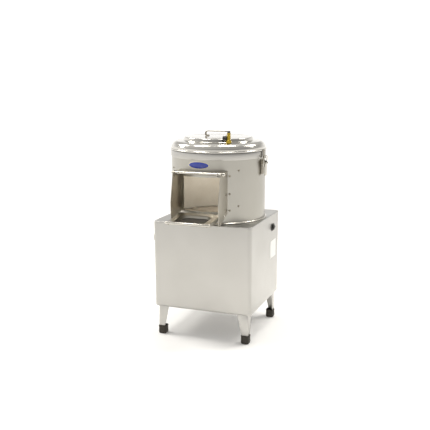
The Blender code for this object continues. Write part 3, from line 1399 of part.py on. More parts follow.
def build_switch():
    """Switch box inside the right wall and the round knob with its grip outside."""
    inner_face = CABINET_WIDTH / 2 - SHEET - FIT
    outer_face = CABINET_WIDTH / 2 + FIT
    half = SWITCH_BOX_SIZE / 2
    box = block(
        "switch_box",
        (inner_face - SWITCH_BOX_DEPTH, SWITCH_Y - half, SWITCH_Z - half),
        (inner_face, SWITCH_Y + half, SWITCH_Z + half),
        BLACK_PLASTIC,
        MACHINE,
    )
    shaft_in = inner_face - SWITCH_BOX_DEPTH / 2
    bore = rod(
        "switch_bore", KNOB_SHAFT_RADIUS + 2 * FIT, shaft_in - FIT, inner_face + OVERRUN, 0,
        (0, SWITCH_Y, SWITCH_Z), None, MACHINE,
    )
    cut(box, bore)
    bezel_half = SWITCH_BEZEL_SIZE / 2
    bezel = block(
        "switch_bezel",
        (outer_face, SWITCH_Y - bezel_half, SWITCH_Z - bezel_half),
        (outer_face + SWITCH_BEZEL, SWITCH_Y + bezel_half, SWITCH_Z + bezel_half),
        BLACK_PLASTIC,
        MACHINE,
    )
    bezel_bore = rod(
        "bezel_bore", KNOB_SHAFT_RADIUS + 2 * FIT, outer_face - OVERRUN, outer_face + OVERRUN, 0,
        (0, SWITCH_Y, SWITCH_Z), None, MACHINE,
    )
    cut(bezel, bezel_bore)

    knob_low = SWITCH_BEZEL + FIT
    knob_high = knob_low + KNOB_HEIGHT
    shaft_depth = outer_face - shaft_in
    axis = frame_empty("switch_axis", (outer_face, SWITCH_Y, SWITCH_Z), MACHINE)
    profile = [
        (0, knob_high),
        (KNOB_RADIUS - KNOB_BEVEL, knob_high),
        (KNOB_RADIUS, knob_high - KNOB_BEVEL),
        (KNOB_RADIUS, knob_low),
        (KNOB_SHAFT_RADIUS, knob_low),
        (KNOB_SHAFT_RADIUS, -shaft_depth),
        (0, -shaft_depth),
    ]
    knob = turned(
        "switch_knob", profile, BLACK_PLASTIC, axis, closed=False, steps=SMALL_STEPS,
        turn=(0, math.pi / 2, 0),
    )
    grip = block(
        "knob_grip",
        (knob_high - KNOB_BEVEL, -KNOB_GRIP_HALF, -KNOB_RADIUS + KNOB_BEVEL),
        (knob_high + KNOB_GRIP_HEIGHT, KNOB_GRIP_HALF, KNOB_RADIUS - KNOB_BEVEL),
        None,
        axis,
    )
    join(knob, grip)


build_cabinet()
for leg_name, leg_x, leg_y in (
    ("front_left", -1, -1),
    ("front_right", 1, -1),
    ("rear_left", -1, 1),
    ("rear_right", 1, 1),
):
    build_leg(leg_name, leg_x, leg_y)
build_drum()
build_chute()
build_door()
build_lid()
build_inlet()
build_latch("left", LATCH_AZIMUTH_LEFT)
build_latch("right", LATCH_AZIMUTH_RIGHT)
build_wet_side()
build_disc()
build_bearings()
build_motor()
build_switch()
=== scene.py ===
"""Looks of the potato peeling machine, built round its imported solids.

Each sub-assembly is a class that models its pieces with Blender's own operators and
gives them their finishes. Places are in millimetres, across and along from the drum's
axis and up from the floor, until fit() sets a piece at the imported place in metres.
"""

import json
import logging
import math
from dataclasses import dataclass
from enum import Enum
from typing import Any, Callable, Optional, Sequence, Union

import bmesh
import bpy
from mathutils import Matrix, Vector

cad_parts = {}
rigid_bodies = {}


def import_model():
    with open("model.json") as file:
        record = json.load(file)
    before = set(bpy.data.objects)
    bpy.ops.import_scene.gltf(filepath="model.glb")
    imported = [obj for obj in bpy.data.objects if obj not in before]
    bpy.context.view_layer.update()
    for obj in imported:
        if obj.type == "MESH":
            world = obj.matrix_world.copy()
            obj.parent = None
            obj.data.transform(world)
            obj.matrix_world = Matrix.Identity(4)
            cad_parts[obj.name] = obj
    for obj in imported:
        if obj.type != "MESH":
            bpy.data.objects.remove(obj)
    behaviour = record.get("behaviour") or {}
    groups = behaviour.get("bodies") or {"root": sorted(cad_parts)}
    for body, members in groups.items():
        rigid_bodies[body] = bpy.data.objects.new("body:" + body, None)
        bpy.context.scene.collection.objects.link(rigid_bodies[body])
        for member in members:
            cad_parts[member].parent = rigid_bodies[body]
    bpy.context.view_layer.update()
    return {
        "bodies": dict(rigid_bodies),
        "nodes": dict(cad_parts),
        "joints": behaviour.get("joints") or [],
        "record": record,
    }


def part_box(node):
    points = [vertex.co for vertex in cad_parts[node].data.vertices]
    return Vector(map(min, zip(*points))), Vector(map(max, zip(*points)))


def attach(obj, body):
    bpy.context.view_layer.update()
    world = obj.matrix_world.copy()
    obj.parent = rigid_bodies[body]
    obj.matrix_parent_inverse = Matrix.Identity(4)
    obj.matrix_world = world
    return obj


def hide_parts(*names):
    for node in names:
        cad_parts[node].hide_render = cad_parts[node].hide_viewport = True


LOG = logging.getLogger("peeler")
MM = 0.001
MERGE_DISTANCE = 0.00001
FLAT_ANGLE = 25.0
Piece = bpy.types.Object
Tree = bpy.types.NodeTree
Socket = bpy.types.NodeSocket
Point = Sequence[float]


class Slot(Enum):
    """The record's material slots."""

    BRUSHED = "brushed_stainless"
    POLISHED = "polished_stainless"
    ABRASIVE = "abrasive_coating"
    RUBBER = "black_rubber"
    PLASTIC = "black_plastic"
    GREY_PLASTIC = "grey_plastic"
    BRASS = "brass"
    CAST = "cast_aluminium"
    STEEL = "machined_steel"
    ENAMEL = "blue_enamel"
    PAINT = "grey_motor_paint"


class Body(Enum):
    """The bodies that pieces ride on."""

    CABINET = "cabinet"
    LID = "lid"
    TAP = "tap"
    DOOR = "door"
    LEVER_LEFT = "lever_left"
    LEVER_RIGHT = "lever_right"
    LOOP_LEFT = "loop_left"
    LOOP_RIGHT = "loop_right"
    DISC = "disc"
    SWITCH = "switch"


class Grain(Enum):
    """How the fine pattern of a surface is made."""

    LINES = "lines"
    SPECKS = "specks"
    GRIT = "grit"


class Pick(Enum):
    """What choose() selects in edit mode."""

    VERTS = "VERT"
    EDGES = "EDGE"
    FACES = "FACE"


def linear(colour: str) -> tuple[float, float, float, float]:
    """Turns an sRGB hex colour to linear red, green, blue and alpha from 0 to 1."""
    parts = [int(colour[i : i + 2], 16) / 255 for i in (1, 3, 5)]
    bent = [c / 12.92 if c <= 0.04045 else ((c + 0.055) / 1.055) ** 2.4 for c in parts]
    return bent[0], bent[1], bent[2], 1.0


def add_node(
    tree: Tree,
    kind: str,
    settings: Optional[dict[Any, Any]] = None,
    links: Optional[dict[Any, Socket]] = None,
) -> bpy.types.Node:
    """Adds a node with its settings and links.

    Args:
        tree: the node tree.
        kind: the node's type name.
        settings: values by attribute, by socket name or by socket number.
        links: output sockets by the name or number of the input that they feed.

    Returns:
        The new node.
    """
    node = tree.nodes.new(kind)
    for key, value in (settings or {}).items():
        if isinstance(key, int) or key in node.inputs:
            node.inputs[key].default_value = value
        else:
            setattr(node, key, value)
    for key, socket in (links or {}).items():
        tree.links.new(socket, node.inputs[key])
    return node


def ranged(tree: Tree, value: Socket, given: Point, wanted: Point) -> Socket:
    """Maps a value from one range to another."""
    ends = {1: given[0], 2: given[1], 3: wanted[0], 4: wanted[1]}
    return add_node(tree, "ShaderNodeMapRange", ends, {0: value}).outputs[0]


def times(tree: Tree, first: Socket, second: Socket) -> Socket:
    """Multiplies two values."""
    return add_node(tree, "ShaderNodeMath", {"operation": "MULTIPLY"}, {0: first, 1: second}).outputs[0]


def new_material(name: str, settings: dict[str, Any]) -> tuple[bpy.types.Material, bpy.types.Node]:
    """Starts a material and gives its shader the settings by socket name."""
    made = bpy.data.materials.new(name)
    made.use_nodes = True
    shader = made.node_tree.nodes["Principled BSDF"]
    for key, value in settings.items():
        shader.inputs[key].default_value = value
    return made, shader


@dataclass(frozen=True)
class Finish:
    """A real material and how its surface was made, with its sizes in millimetres.

    Colour and shade take turns in patches of a size. The fine pattern has a width, a length
    along each axis as a multiple of it, and a depth. The roughness varies by the spread.
    """

    name: str
    slot: Slot
    colour: str
    shade: str
    roughness: float
    metallic: float
    patch: float
    width: float
    depth: float
    spread: float
    grain: Grain = Grain.SPECKS
    length: Point = (1.0, 1.0, 1.0)
    coat: float = 0.0

    def material(self) -> bpy.types.Material:
        """Builds the procedural material once, and shares it among all pieces of this finish."""
        known = bpy.data.materials.get(self.name)
        if known:
            return known
        made, shader = new_material(self.name, {"Metallic": self.metallic, "Coat Weight": self.coat})
        tree = made.node_tree
        place = add_node(tree, "ShaderNodeTexCoord").outputs["Object"]
        patches = add_node(
            tree, "ShaderNodeTexNoise", {"Scale": 1 / (self.patch * MM), "Detail": 3.0}, {"Vector": place}
        ).outputs["Fac"]
        colours = {"data_type": "RGBA", 6: linear(self.colour), 7: linear(self.shade)}
        base = add_node(tree, "ShaderNodeMix", colours, {0: patches}).outputs[2]
        grain = self.pattern(tree, place)
        if self.grain is Grain.GRIT:
            base = self.grains(tree, base, grain)
        tree.links.new(base, shader.inputs["Base Color"])
        wear = add_node(tree, "ShaderNodeMix", {0: 0.35}, {2: patches, 3: grain}).outputs[0]
        limits = (self.roughness - self.spread, self.roughness + self.spread)
        tree.links.new(ranged(tree, wear, (0.3, 0.7), limits), shader.inputs["Roughness"])
        relief = {"Strength": 0.5, "Distance": self.depth * MM}
        bump = add_node(tree, "ShaderNodeBump", relief, {"Height": grain})
        tree.links.new(bump.outputs["Normal"], shader.inputs["Normal"])
        return made

    def pattern(self, tree: Tree, place: Socket) -> Socket:
        """Draws the fine pattern at its real size, as a height from 0 to 1."""
        scale = [1 / (self.width * MM * stretch) for stretch in self.length]
        laid = add_node(tree, "ShaderNodeMapping", {"Scale": scale}, {"Vector": place})
        kind, detail, output = "ShaderNodeTexNoise", {"Scale": 1.0, "Detail": 2.0}, "Fac"
        if self.grain is Grain.GRIT:
            kind, detail, output = "ShaderNodeTexVoronoi", {"Scale": 1.0}, "Distance"
        return add_node(tree, kind, detail, {"Vector": laid.outputs[0]}).outputs[output]

    def grains(self, tree: Tree, base: Socket, grain: Socket) -> Socket:
        """Darkens the resin between the grains, by the distance from each grain's middle."""
        rim = ranged(tree, grain, (0.35, 0.75), (0.0, 0.45))
        shade = {"data_type": "RGBA", 7: linear(self.shade)}
        return add_node(tree, "ShaderNodeMix", shade, {0: rim, 6: base}).outputs[2]


# Stainless sheet, rolled and then brushed across: a soft grey sheen with fine level lines.
# The lines of 0.2 mm are too fine to show, so they are drawn 0.9 mm wide.
CABINET_SHEET = Finish(
    "brushed_stainless_cabinet", Slot.BRUSHED, "#BDBBB7", "#B6B4AF", 0.34, 1.0, 140, 0.9, 0.012, 0.05,
    Grain.LINES, (60, 60, 1),
)
# The drum is rolled from the same sheet and its lines run round it; its tone is painted a little darker than
# the cabinet's, as painted shade.
SHADED_DRUM_SHEET = Finish(
    "brushed_stainless_drum_shaded", Slot.BRUSHED, "#B8B5AE", "#B1AEA5", 0.32, 1.0, 140, 0.9, 0.012, 0.05,
    Grain.LINES, (60, 60, 1),
)
# Cheeks, canopy and door are bent from thinner sheet that is brushed less evenly.
CHUTE_SHEET = Finish(
    "satin_stainless_chute", Slot.BRUSHED, "#BBB6AB", "#B3AEA3", 0.30, 1.0, 90, 0.7, 0.004, 0.03,
    Grain.LINES, (1, 40, 1),
)
# The legs are bent sheet, with the lines along them.
LEG_SHEET = Finish(
    "brushed_stainless_legs", Slot.BRUSHED, "#C4C2BE", "#BCBAB5", 0.36, 1.0, 60, 0.8, 0.012, 0.05,
    Grain.LINES, (1, 1, 60),
)
# Spun and polished stainless: clear bright reflections with hair scratches that run round.
LID_SHEET = Finish(
    "polished_stainless_lid", Slot.POLISHED, "#D4D1CB", "#CBC8C1", 0.15, 1.0, 90, 0.6, 0.004, 0.03,
    Grain.LINES, (50, 50, 1),
)
# Polished rod, wire and strap: bright, with small handling marks.
BRIGHT = Finish(
    "polished_stainless_fittings", Slot.POLISHED, "#CBC8C0", "#BDB9B0", 0.20, 1.0, 25, 1.2, 0.006, 0.06
)
# Screws and latch bodies, zinc plated and a little dull.
PLATED = Finish(
    "zinc_plated_steel", Slot.POLISHED, "#A59E90", "#857E70", 0.34, 1.0, 8, 0.6, 0.01, 0.08
)
# Silicon carbide grit in resin: matt, pale brown and rough to the touch, with 1.4 mm grains.
GRIT = Finish(
    "silicon_carbide_grit", Slot.ABRASIVE, "#ABA498", "#918A7D", 0.85, 0.0, 70, 1.4, 0.35, 0.05,
    Grain.GRIT,
)
# The disc's grit is a darker tone than the wall's.
DISC_GRIT = Finish(
    "silicon_carbide_disc", Slot.ABRASIVE, "#8F8676", "#6A6153", 0.88, 0.0, 50, 1.8, 0.45, 0.05,
    Grain.GRIT,
)
# Moulded rubber: almost black with a brown cast and a dull, slightly dusty skin.
BOOT_RUBBER = Finish(
    "moulded_rubber", Slot.RUBBER, "#2C271F", "#3A342A", 0.62, 0.0, 18, 0.7, 0.03, 0.10
)
PAD_RUBBER = Finish(
    "sheet_rubber", Slot.RUBBER, "#2B2720", "#3B362C", 0.70, 0.0, 30, 0.9, 0.04, 0.08
)
# Moulded ABS: smooth black with a soft gloss from the tool.
BLACK_ABS = Finish(
    "moulded_abs_black", Slot.PLASTIC, "#1E1C18", "#2A2822", 0.38, 0.0, 20, 0.5, 0.012, 0.06
)
# Moulded polyamide: mid grey and matt.
GREY_NYLON = Finish(
    "moulded_polyamide_grey", Slot.GREY_PLASTIC, "#5E5B54", "#4D4A44", 0.5, 0.0, 15, 0.5, 0.015, 0.06
)
DRAIN_PLASTIC = Finish(
    "moulded_pvc_grey", Slot.GREY_PLASTIC, "#C9C5BC", "#BCB7AD", 0.42, 0.0, 30, 0.6, 0.01, 0.06
)
# Turned brass: warm yellow, with brown tarnish in patches and fine tool rings.
TURNED_BRASS = Finish(
    "turned_brass", Slot.BRASS, "#B59C3C", "#8A752C", 0.30, 1.0, 12, 0.4, 0.02, 0.10,
    Grain.LINES, (30, 30, 1),
)
# Sand cast aluminium: pale grey with a pebbled skin.
CAST = Finish(
    "sand_cast_aluminium", Slot.CAST, "#B5B4B0", "#9C9B97", 0.55, 1.0, 30, 1.1, 0.10, 0.06
)
# Turned steel: darker than stainless, lightly oiled.
MACHINED = Finish(
    "turned_steel", Slot.STEEL, "#9C9A96", "#84817C", 0.28, 1.0, 20, 0.4, 0.01, 0.06,
    Grain.LINES, (30, 30, 1),
)
# Stove enamel: deep blue glass on steel, smooth, with a clear gloss.
BLUE_ENAMEL = Finish(
    "stove_enamel_blue", Slot.ENAMEL, "#24379C", "#2C40A8", 0.22, 0.0, 12, 2.0, 0.01, 0.03,
    coat=0.5,
)
PALE_ENAMEL = Finish(
    "stove_enamel_cream", Slot.ENAMEL, "#E9E2C6", "#E2DABC", 0.30, 0.0, 12, 2.0, 0.01, 0.03,
    coat=0.3,
)
# Printed vinyl film without print: white and satin.
WHITE_VINYL = Finish(
    "vinyl_film_white", Slot.BRUSHED, "#F6F5F2", "#EEEDEA", 0.45, 0.0, 40, 1.0, 0.004, 0.04
)
# Sprayed machine paint: dark grey with a fine orange peel.
MOTOR_PAINT = Finish(
    "sprayed_paint_grey", Slot.PAINT, "#5B5E60", "#505355", 0.42, 0.0, 40, 2.5, 0.03, 0.05,
    coat=0.2,
)


def clear() -> None:
    """Leaves edit mode and deselects everything."""
    if bpy.context.mode != "OBJECT":
        bpy.ops.object.mode_set(mode="OBJECT")
    bpy.ops.object.select_all(action="DESELECT")


def mark_all() -> None:
    """Selects the whole mesh in edit mode."""
    bpy.ops.mesh.select_mode(type="VERT")
    bpy.ops.mesh.select_all(action="SELECT")


def merge_all() -> None:
    """Selects the whole mesh in edit mode and merges its doubles."""
    mark_all()
    bpy.ops.mesh.remove_doubles(threshold=MERGE_DISTANCE)


def take(piece: Piece) -> Piece:
    """Selects one piece alone and makes it active."""
    clear()
    piece.select_set(True)
    bpy.context.view_layer.objects.active = piece
    return piece


def edit(piece: Piece) -> Piece:
    """Opens a piece in edit mode with all of it selected."""
    take(piece)
    bpy.ops.object.mode_set(mode="EDIT")
    mark_all()
    return piece


def named(piece: Piece, name: str) -> Piece:
    """Names a piece and its mesh."""
    piece.name = name
    piece.data.name = name
    return piece


def choose(piece: Piece, test: Callable[[Vector], bool], pick: Pick = Pick.VERTS) -> None:
    """Selects the parts of the mesh in edit mode whose middle passes a test.

    Args:
        piece: the piece in edit mode, unturned.
        test: says of a place in millimetres whether it is chosen.
        pick: verts, edges or faces.
    """
    bpy.ops.mesh.select_mode(type=pick.value)
    bpy.ops.mesh.select_all(action="DESELECT")
    form = bmesh.from_edit_mesh(piece.data)
    shift = piece.location
    if pick is Pick.VERTS:
        found = [(v, v.co) for v in form.verts]
    elif pick is Pick.EDGES:
        found = [(e, (e.verts[0].co + e.verts[1].co) / 2) for e in form.edges]
    else:
        found = [(f, f.calc_center_median()) for f in form.faces]
    for part, middle in found:
        if test((middle + shift) / MM):
            part.select_set(True)
    form.select_flush_mode()
    bmesh.update_edit_mesh(piece.data)


def push(step: Point) -> None:
    """Extrudes what is selected in edit mode by a step in millimetres."""
    bpy.ops.mesh.extrude_region_move(TRANSFORM_OT_translate={"value": Vector(step) * MM})


def pinch(share: Point, centre: Point) -> None:
    """Scales what is selected in edit mode about a place in millimetres."""
    bpy.ops.transform.resize(value=share, center_override=[value * MM for value in centre])


def shut(piece: Piece) -> Piece:
    """Merges doubles, turns the faces outwards and leaves edit mode."""
    merge_all()
    bpy.ops.mesh.normals_make_consistent(inside=False)
    clear()
    return piece


def settle(piece: Piece, turn: Point = (0, 0, 0), move: Point = (0, 0, 0)) -> Piece:
    """Turns and moves a piece and leaves its place in its mesh.

    Args:
        piece: the piece.
        turn: degrees about X, Y and Z.
        move: millimetres.

    Returns:
        The piece, with its object at the origin.
    """
    take(piece)
    bpy.ops.object.transform_apply(location=True, rotation=True, scale=True)
    piece.rotation_euler = [math.radians(angle) for angle in turn]
    piece.location = Vector(move) * MM
    bpy.ops.object.transform_apply(location=True, rotation=True, scale=True)
    return piece


def rounded(
    corners: Sequence[Point], radii: Union[float, Sequence[float]], closed: bool = True, steps: int = 6
) -> list[Vector]:
    """Rounds the corners of a line.

    Args:
        corners: its points, flat or in space.
        radii: one radius for all corners, or one for each.
        closed: whether the last point joins the first.
        steps: how many steps each arc has.

    Returns:
        The points of the rounded line.
    """
    points = [Vector(corner) for corner in corners]
    count = len(points)
    line = []
    for index, corner in enumerate(points):
        radius = radii[index] if isinstance(radii, (list, tuple)) else radii
        before = points[index - 1] - corner
        after = points[(index + 1) % count] - corner
        end = not closed and index in (0, count - 1)
        if end or radius <= 0 or before.angle(after) > math.radians(179):
            line.append(corner)
            continue
        half = before.angle(after) / 2
        reach = min(radius / math.tan(half), 0.49 * before.length, 0.49 * after.length)
        before.normalize()
        after.normalize()
        centre = corner + (before + after).normalized() * (reach / math.cos(half))
        first = corner + before * reach - centre
        last = corner + after * reach - centre
        sweep = first.angle(last)
        for step in range(steps + 1):
            share = step / steps
            arm = first * math.sin((1 - share) * sweep) + last * math.sin(share * sweep)
            line.append(centre + arm / math.sin(sweep))
    return line


def rectangle(
    left: float, low: float, right: float, high: float, radii: Union[float, Sequence[float]], steps: int = 6
) -> list[Vector]:
    """Outline of a rectangle with rounded corners; see rounded()."""
    return rounded([(left, low), (right, low), (right, high), (left, high)], radii, True, steps)


def flat(line: Sequence[Vector], z: float) -> list[Point]:
    """Lays a drawn line level at a height."""
    return [(p.x, p.y, z) for p in line]


def facing(line: Sequence[Vector], y: float) -> list[Point]:
    """Stands a drawn line up to face the front, at a depth."""
    return [(p.x, y, p.y) for p in line]


def sideways(line: Sequence[Vector], x: float) -> list[Point]:
    """Stands a drawn line up to face the side, at a place across."""
    return [(x, p.x, p.y) for p in line]


def both_ways(half: list[Point]) -> list[Point]:
    """Adds its mirror image to the upper half of a profile."""
    return half + [(r, -z) for r, z in reversed(half)]


def chain(name: str, points: Sequence[Point]) -> Piece:
    """Draws a line by extruding one vertex from point to point.

    Args:
        name: the piece's name.
        points: places in millimetres.

    Returns:
        The piece, left in edit mode.
    """
    clear()
    bpy.ops.mesh.primitive_plane_add(size=MM, location=Vector(points[0]) * MM)
    piece = edit(named(bpy.context.object, name))
    bpy.ops.mesh.merge(type="CENTER")
    for last, point in zip(points, points[1:]):
        step = (Vector(point) - Vector(last)) * MM
        bpy.ops.mesh.extrude_vertices_move(TRANSFORM_OT_translate={"value": step})
    return piece


def ribbon(name: str, line: Sequence[Point], *steps: Point) -> Piece:
    """Draws a line, extrudes it step by step in millimetres and stays in edit mode."""
    piece = chain(name, line)
    mark_all()
    for step in steps:
        push(step)
    return piece


def filled(name: str, outline: Sequence[Point]) -> Piece:
    """Draws a closed outline, fills it and stays in edit mode with it selected."""
    piece = chain(name, outline)
    mark_all()
    bpy.ops.mesh.edge_face_add()
    mark_all()
    return piece


def plate(name: str, outline: Sequence[Point], step: Point) -> Piece:
    """Fills a flat outline and extrudes it in millimetres to a solid."""
    piece = filled(name, outline)
    push(step)
    return settle(shut(piece))


def lathe(
    name: str, profile: Sequence[Point], steps: int = 64, loop: bool = False, sweep: float = 360.0
) -> Piece:
    """Spins a profile round the upright axis.

    Args:
        name: the piece's name.
        profile: radius and height in millimetres.
        steps: how many steps the turn has.
        loop: whether the last point joins the first.
        sweep: degrees; a part turn is closed at both ends.

    Returns:
        The turned piece.
    """
    line = [(point[0], 0, point[1]) for point in profile]
    full = abs(sweep) >= 360
    if loop and full:
        line.append(line[0])
    piece = ribbon(name, line) if full else filled(name, line)
    bpy.ops.mesh.spin(steps=steps, angle=math.radians(sweep), center=(0, 0, 0), axis=(0, 0, 1))
    return settle(shut(piece))


def tube(name: str, inner: float, outer: float, low: float, high: float, steps: int) -> Piece:
    """Turns a plain tube."""
    return lathe(name, [(inner, low), (outer, low), (outer, high), (inner, high)], steps, True)


def peg(name: str, radius: float, low: float, high: float, steps: int) -> Piece:
    """Turns a plain round peg."""
    return lathe(name, [(0, low), (radius, low), (radius, high), (0, high)], steps)


def block(name: str, low: Point, high: Point, radius: float = 0.0) -> Piece:
    """A box between two corners, its edges rounded with the bevel operator."""
    clear()
    low, high = Vector(low) * MM, Vector(high) * MM
    bpy.ops.mesh.primitive_cube_add(size=1, location=(low + high) / 2, scale=high - low)
    piece = settle(named(bpy.context.object, name))
    if radius:
        edit(piece)
        bpy.ops.mesh.bevel(offset=radius * MM, segments=3, affect="EDGES")
        shut(piece)
    return piece


def modify(piece: Piece, kind: str, **settings: Any) -> Piece:
    """Adds a modifier with its settings and applies it."""
    take(piece)
    added = piece.modifiers.new(kind, kind)
    for key, value in settings.items():
        setattr(added, key, value)
    bpy.ops.object.modifier_apply(modifier=kind)
    return piece


def thicken(piece: Piece, sheet: float, side: float = -1.0) -> Piece:
    """Gives a surface its wall with Solidify; side -1 keeps the outer face in place."""
    return modify(piece, "SOLIDIFY", thickness=sheet * MM, offset=side, use_even_offset=True)


def soften(piece: Piece, radius: float, segments: int = 2, angle: float = 40.0) -> Piece:
    """Rounds the sharp edges with a bevel, and smooths less than its steps so that flat faces stay flat."""
    limit = math.radians(angle)
    modify(piece, "BEVEL", width=radius * MM, segments=segments, limit_method="ANGLE", angle_limit=limit)
    return smooth(piece, FLAT_ANGLE)


def smooth(piece: Piece, angle: float = 35.0) -> Piece:
    """Shades a piece smooth up to an angle."""
    take(piece)
    bpy.ops.object.shade_smooth_by_angle(angle=math.radians(angle))
    return piece


def carve(piece: Piece, cutter: Piece, how: str = "DIFFERENCE") -> Piece:
    """Cuts one piece by another, which is used up."""
    modify(piece, "BOOLEAN", operation=how, solver="EXACT", object=cutter)
    bpy.data.objects.remove(cutter, do_unlink=True)
    return piece


def join(name: str, pieces: Sequence[Piece]) -> Piece:
    """Joins pieces into one object."""
    clear()
    for piece in pieces:
        piece.select_set(True)
    bpy.context.view_layer.objects.active = pieces[0]
    bpy.ops.object.join()
    return named(pieces[0], name)


def twin(piece: Piece, name: str, turn: Point = (0, 0, 0), move: Point = (0, 0, 0)) -> Piece:
    """Copies a piece with its own mesh and turns and moves the copy."""
    take(piece)
    bpy.ops.object.duplicate(linked=False)
    return settle(named(bpy.context.object, name), turn, move)


def mirrored(piece: Piece, name: str, across: Point = (-1, 1, 1)) -> Piece:
    """Copies a piece to the other side and turns its faces outwards again."""
    copy = twin(piece, name)
    copy.scale = across
    bpy.ops.object.transform_apply(location=False, rotation=False, scale=True)
    edit(copy)
    bpy.ops.mesh.normals_make_consistent(inside=False)
    clear()
    return copy


def wire(name: str, points: Sequence[Point], radius: float) -> Piece:
    """Runs a round wire along points; one that ends where it starts is closed."""
    piece = chain(name, points)
    merge_all()
    take(piece)
    bpy.ops.object.convert(target="CURVE")
    piece.data.bevel_depth = radius * MM
    piece.data.bevel_resolution = 4
    piece.data.use_fill_caps = True
    bpy.ops.object.convert(target="MESH")
    edit(piece)
    return smooth(settle(shut(piece)))


@dataclass
class Bench:
    """Where the pieces are set: the drum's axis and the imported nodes."""

    axis: Vector
    nodes: dict[str, Piece]

    def fit(self, piece: Piece, finish: Finish, *stands_for: str, body: Body = Body.CABINET) -> None:
        """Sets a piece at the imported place, with its finish and its body.

        Args:
            piece: the piece, modelled round the drum's axis.
            finish: its finish.
            stands_for: the nodes that it replaces.
            body: the body that it rides on.
        """
        settle(piece, move=self.axis / MM)
        self.dress(piece, finish, body, *stands_for)

    def dress(self, piece: Piece, finish: Finish, body: Body, *stands_for: str) -> None:
        """Gives a piece in place its finish and its body; see fit()."""
        piece.data.materials.clear()
        piece.data.materials.append(finish.material())
        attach(piece, body.value)
        if stands_for:
            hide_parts(*stands_for)
        LOG.info("%s rides on %s", piece.name, body.value)

    def coat(self, node: str, finish: Finish) -> None:
        """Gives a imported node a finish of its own."""
        self.nodes[node].material_slots[0].material = finish.material()
        LOG.info("%s keeps its solid", node)

    def refine(self, node: str, name: str, finish: Finish, body: Body, radius: float) -> None:
        """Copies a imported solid, merges and rounds the copy, and shows it in its place.

        Args:
            node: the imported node.
            name: the new piece's name.
            finish: its finish.
            body: the body that it rides on.
            radius: the radius of its edges in millimetres.
        """
        piece = bpy.data.objects.new(name, self.nodes[node].data.copy())
        piece.data.name = name
        bpy.context.scene.collection.objects.link(piece)
        edit(piece)
        bpy.ops.mesh.remove_doubles(threshold=MERGE_DISTANCE)
        bpy.ops.mesh.dissolve_limited(angle_limit=math.radians(1))
        soften(piece, radius, 2, 50)
        self.dress(piece, finish, body, node)


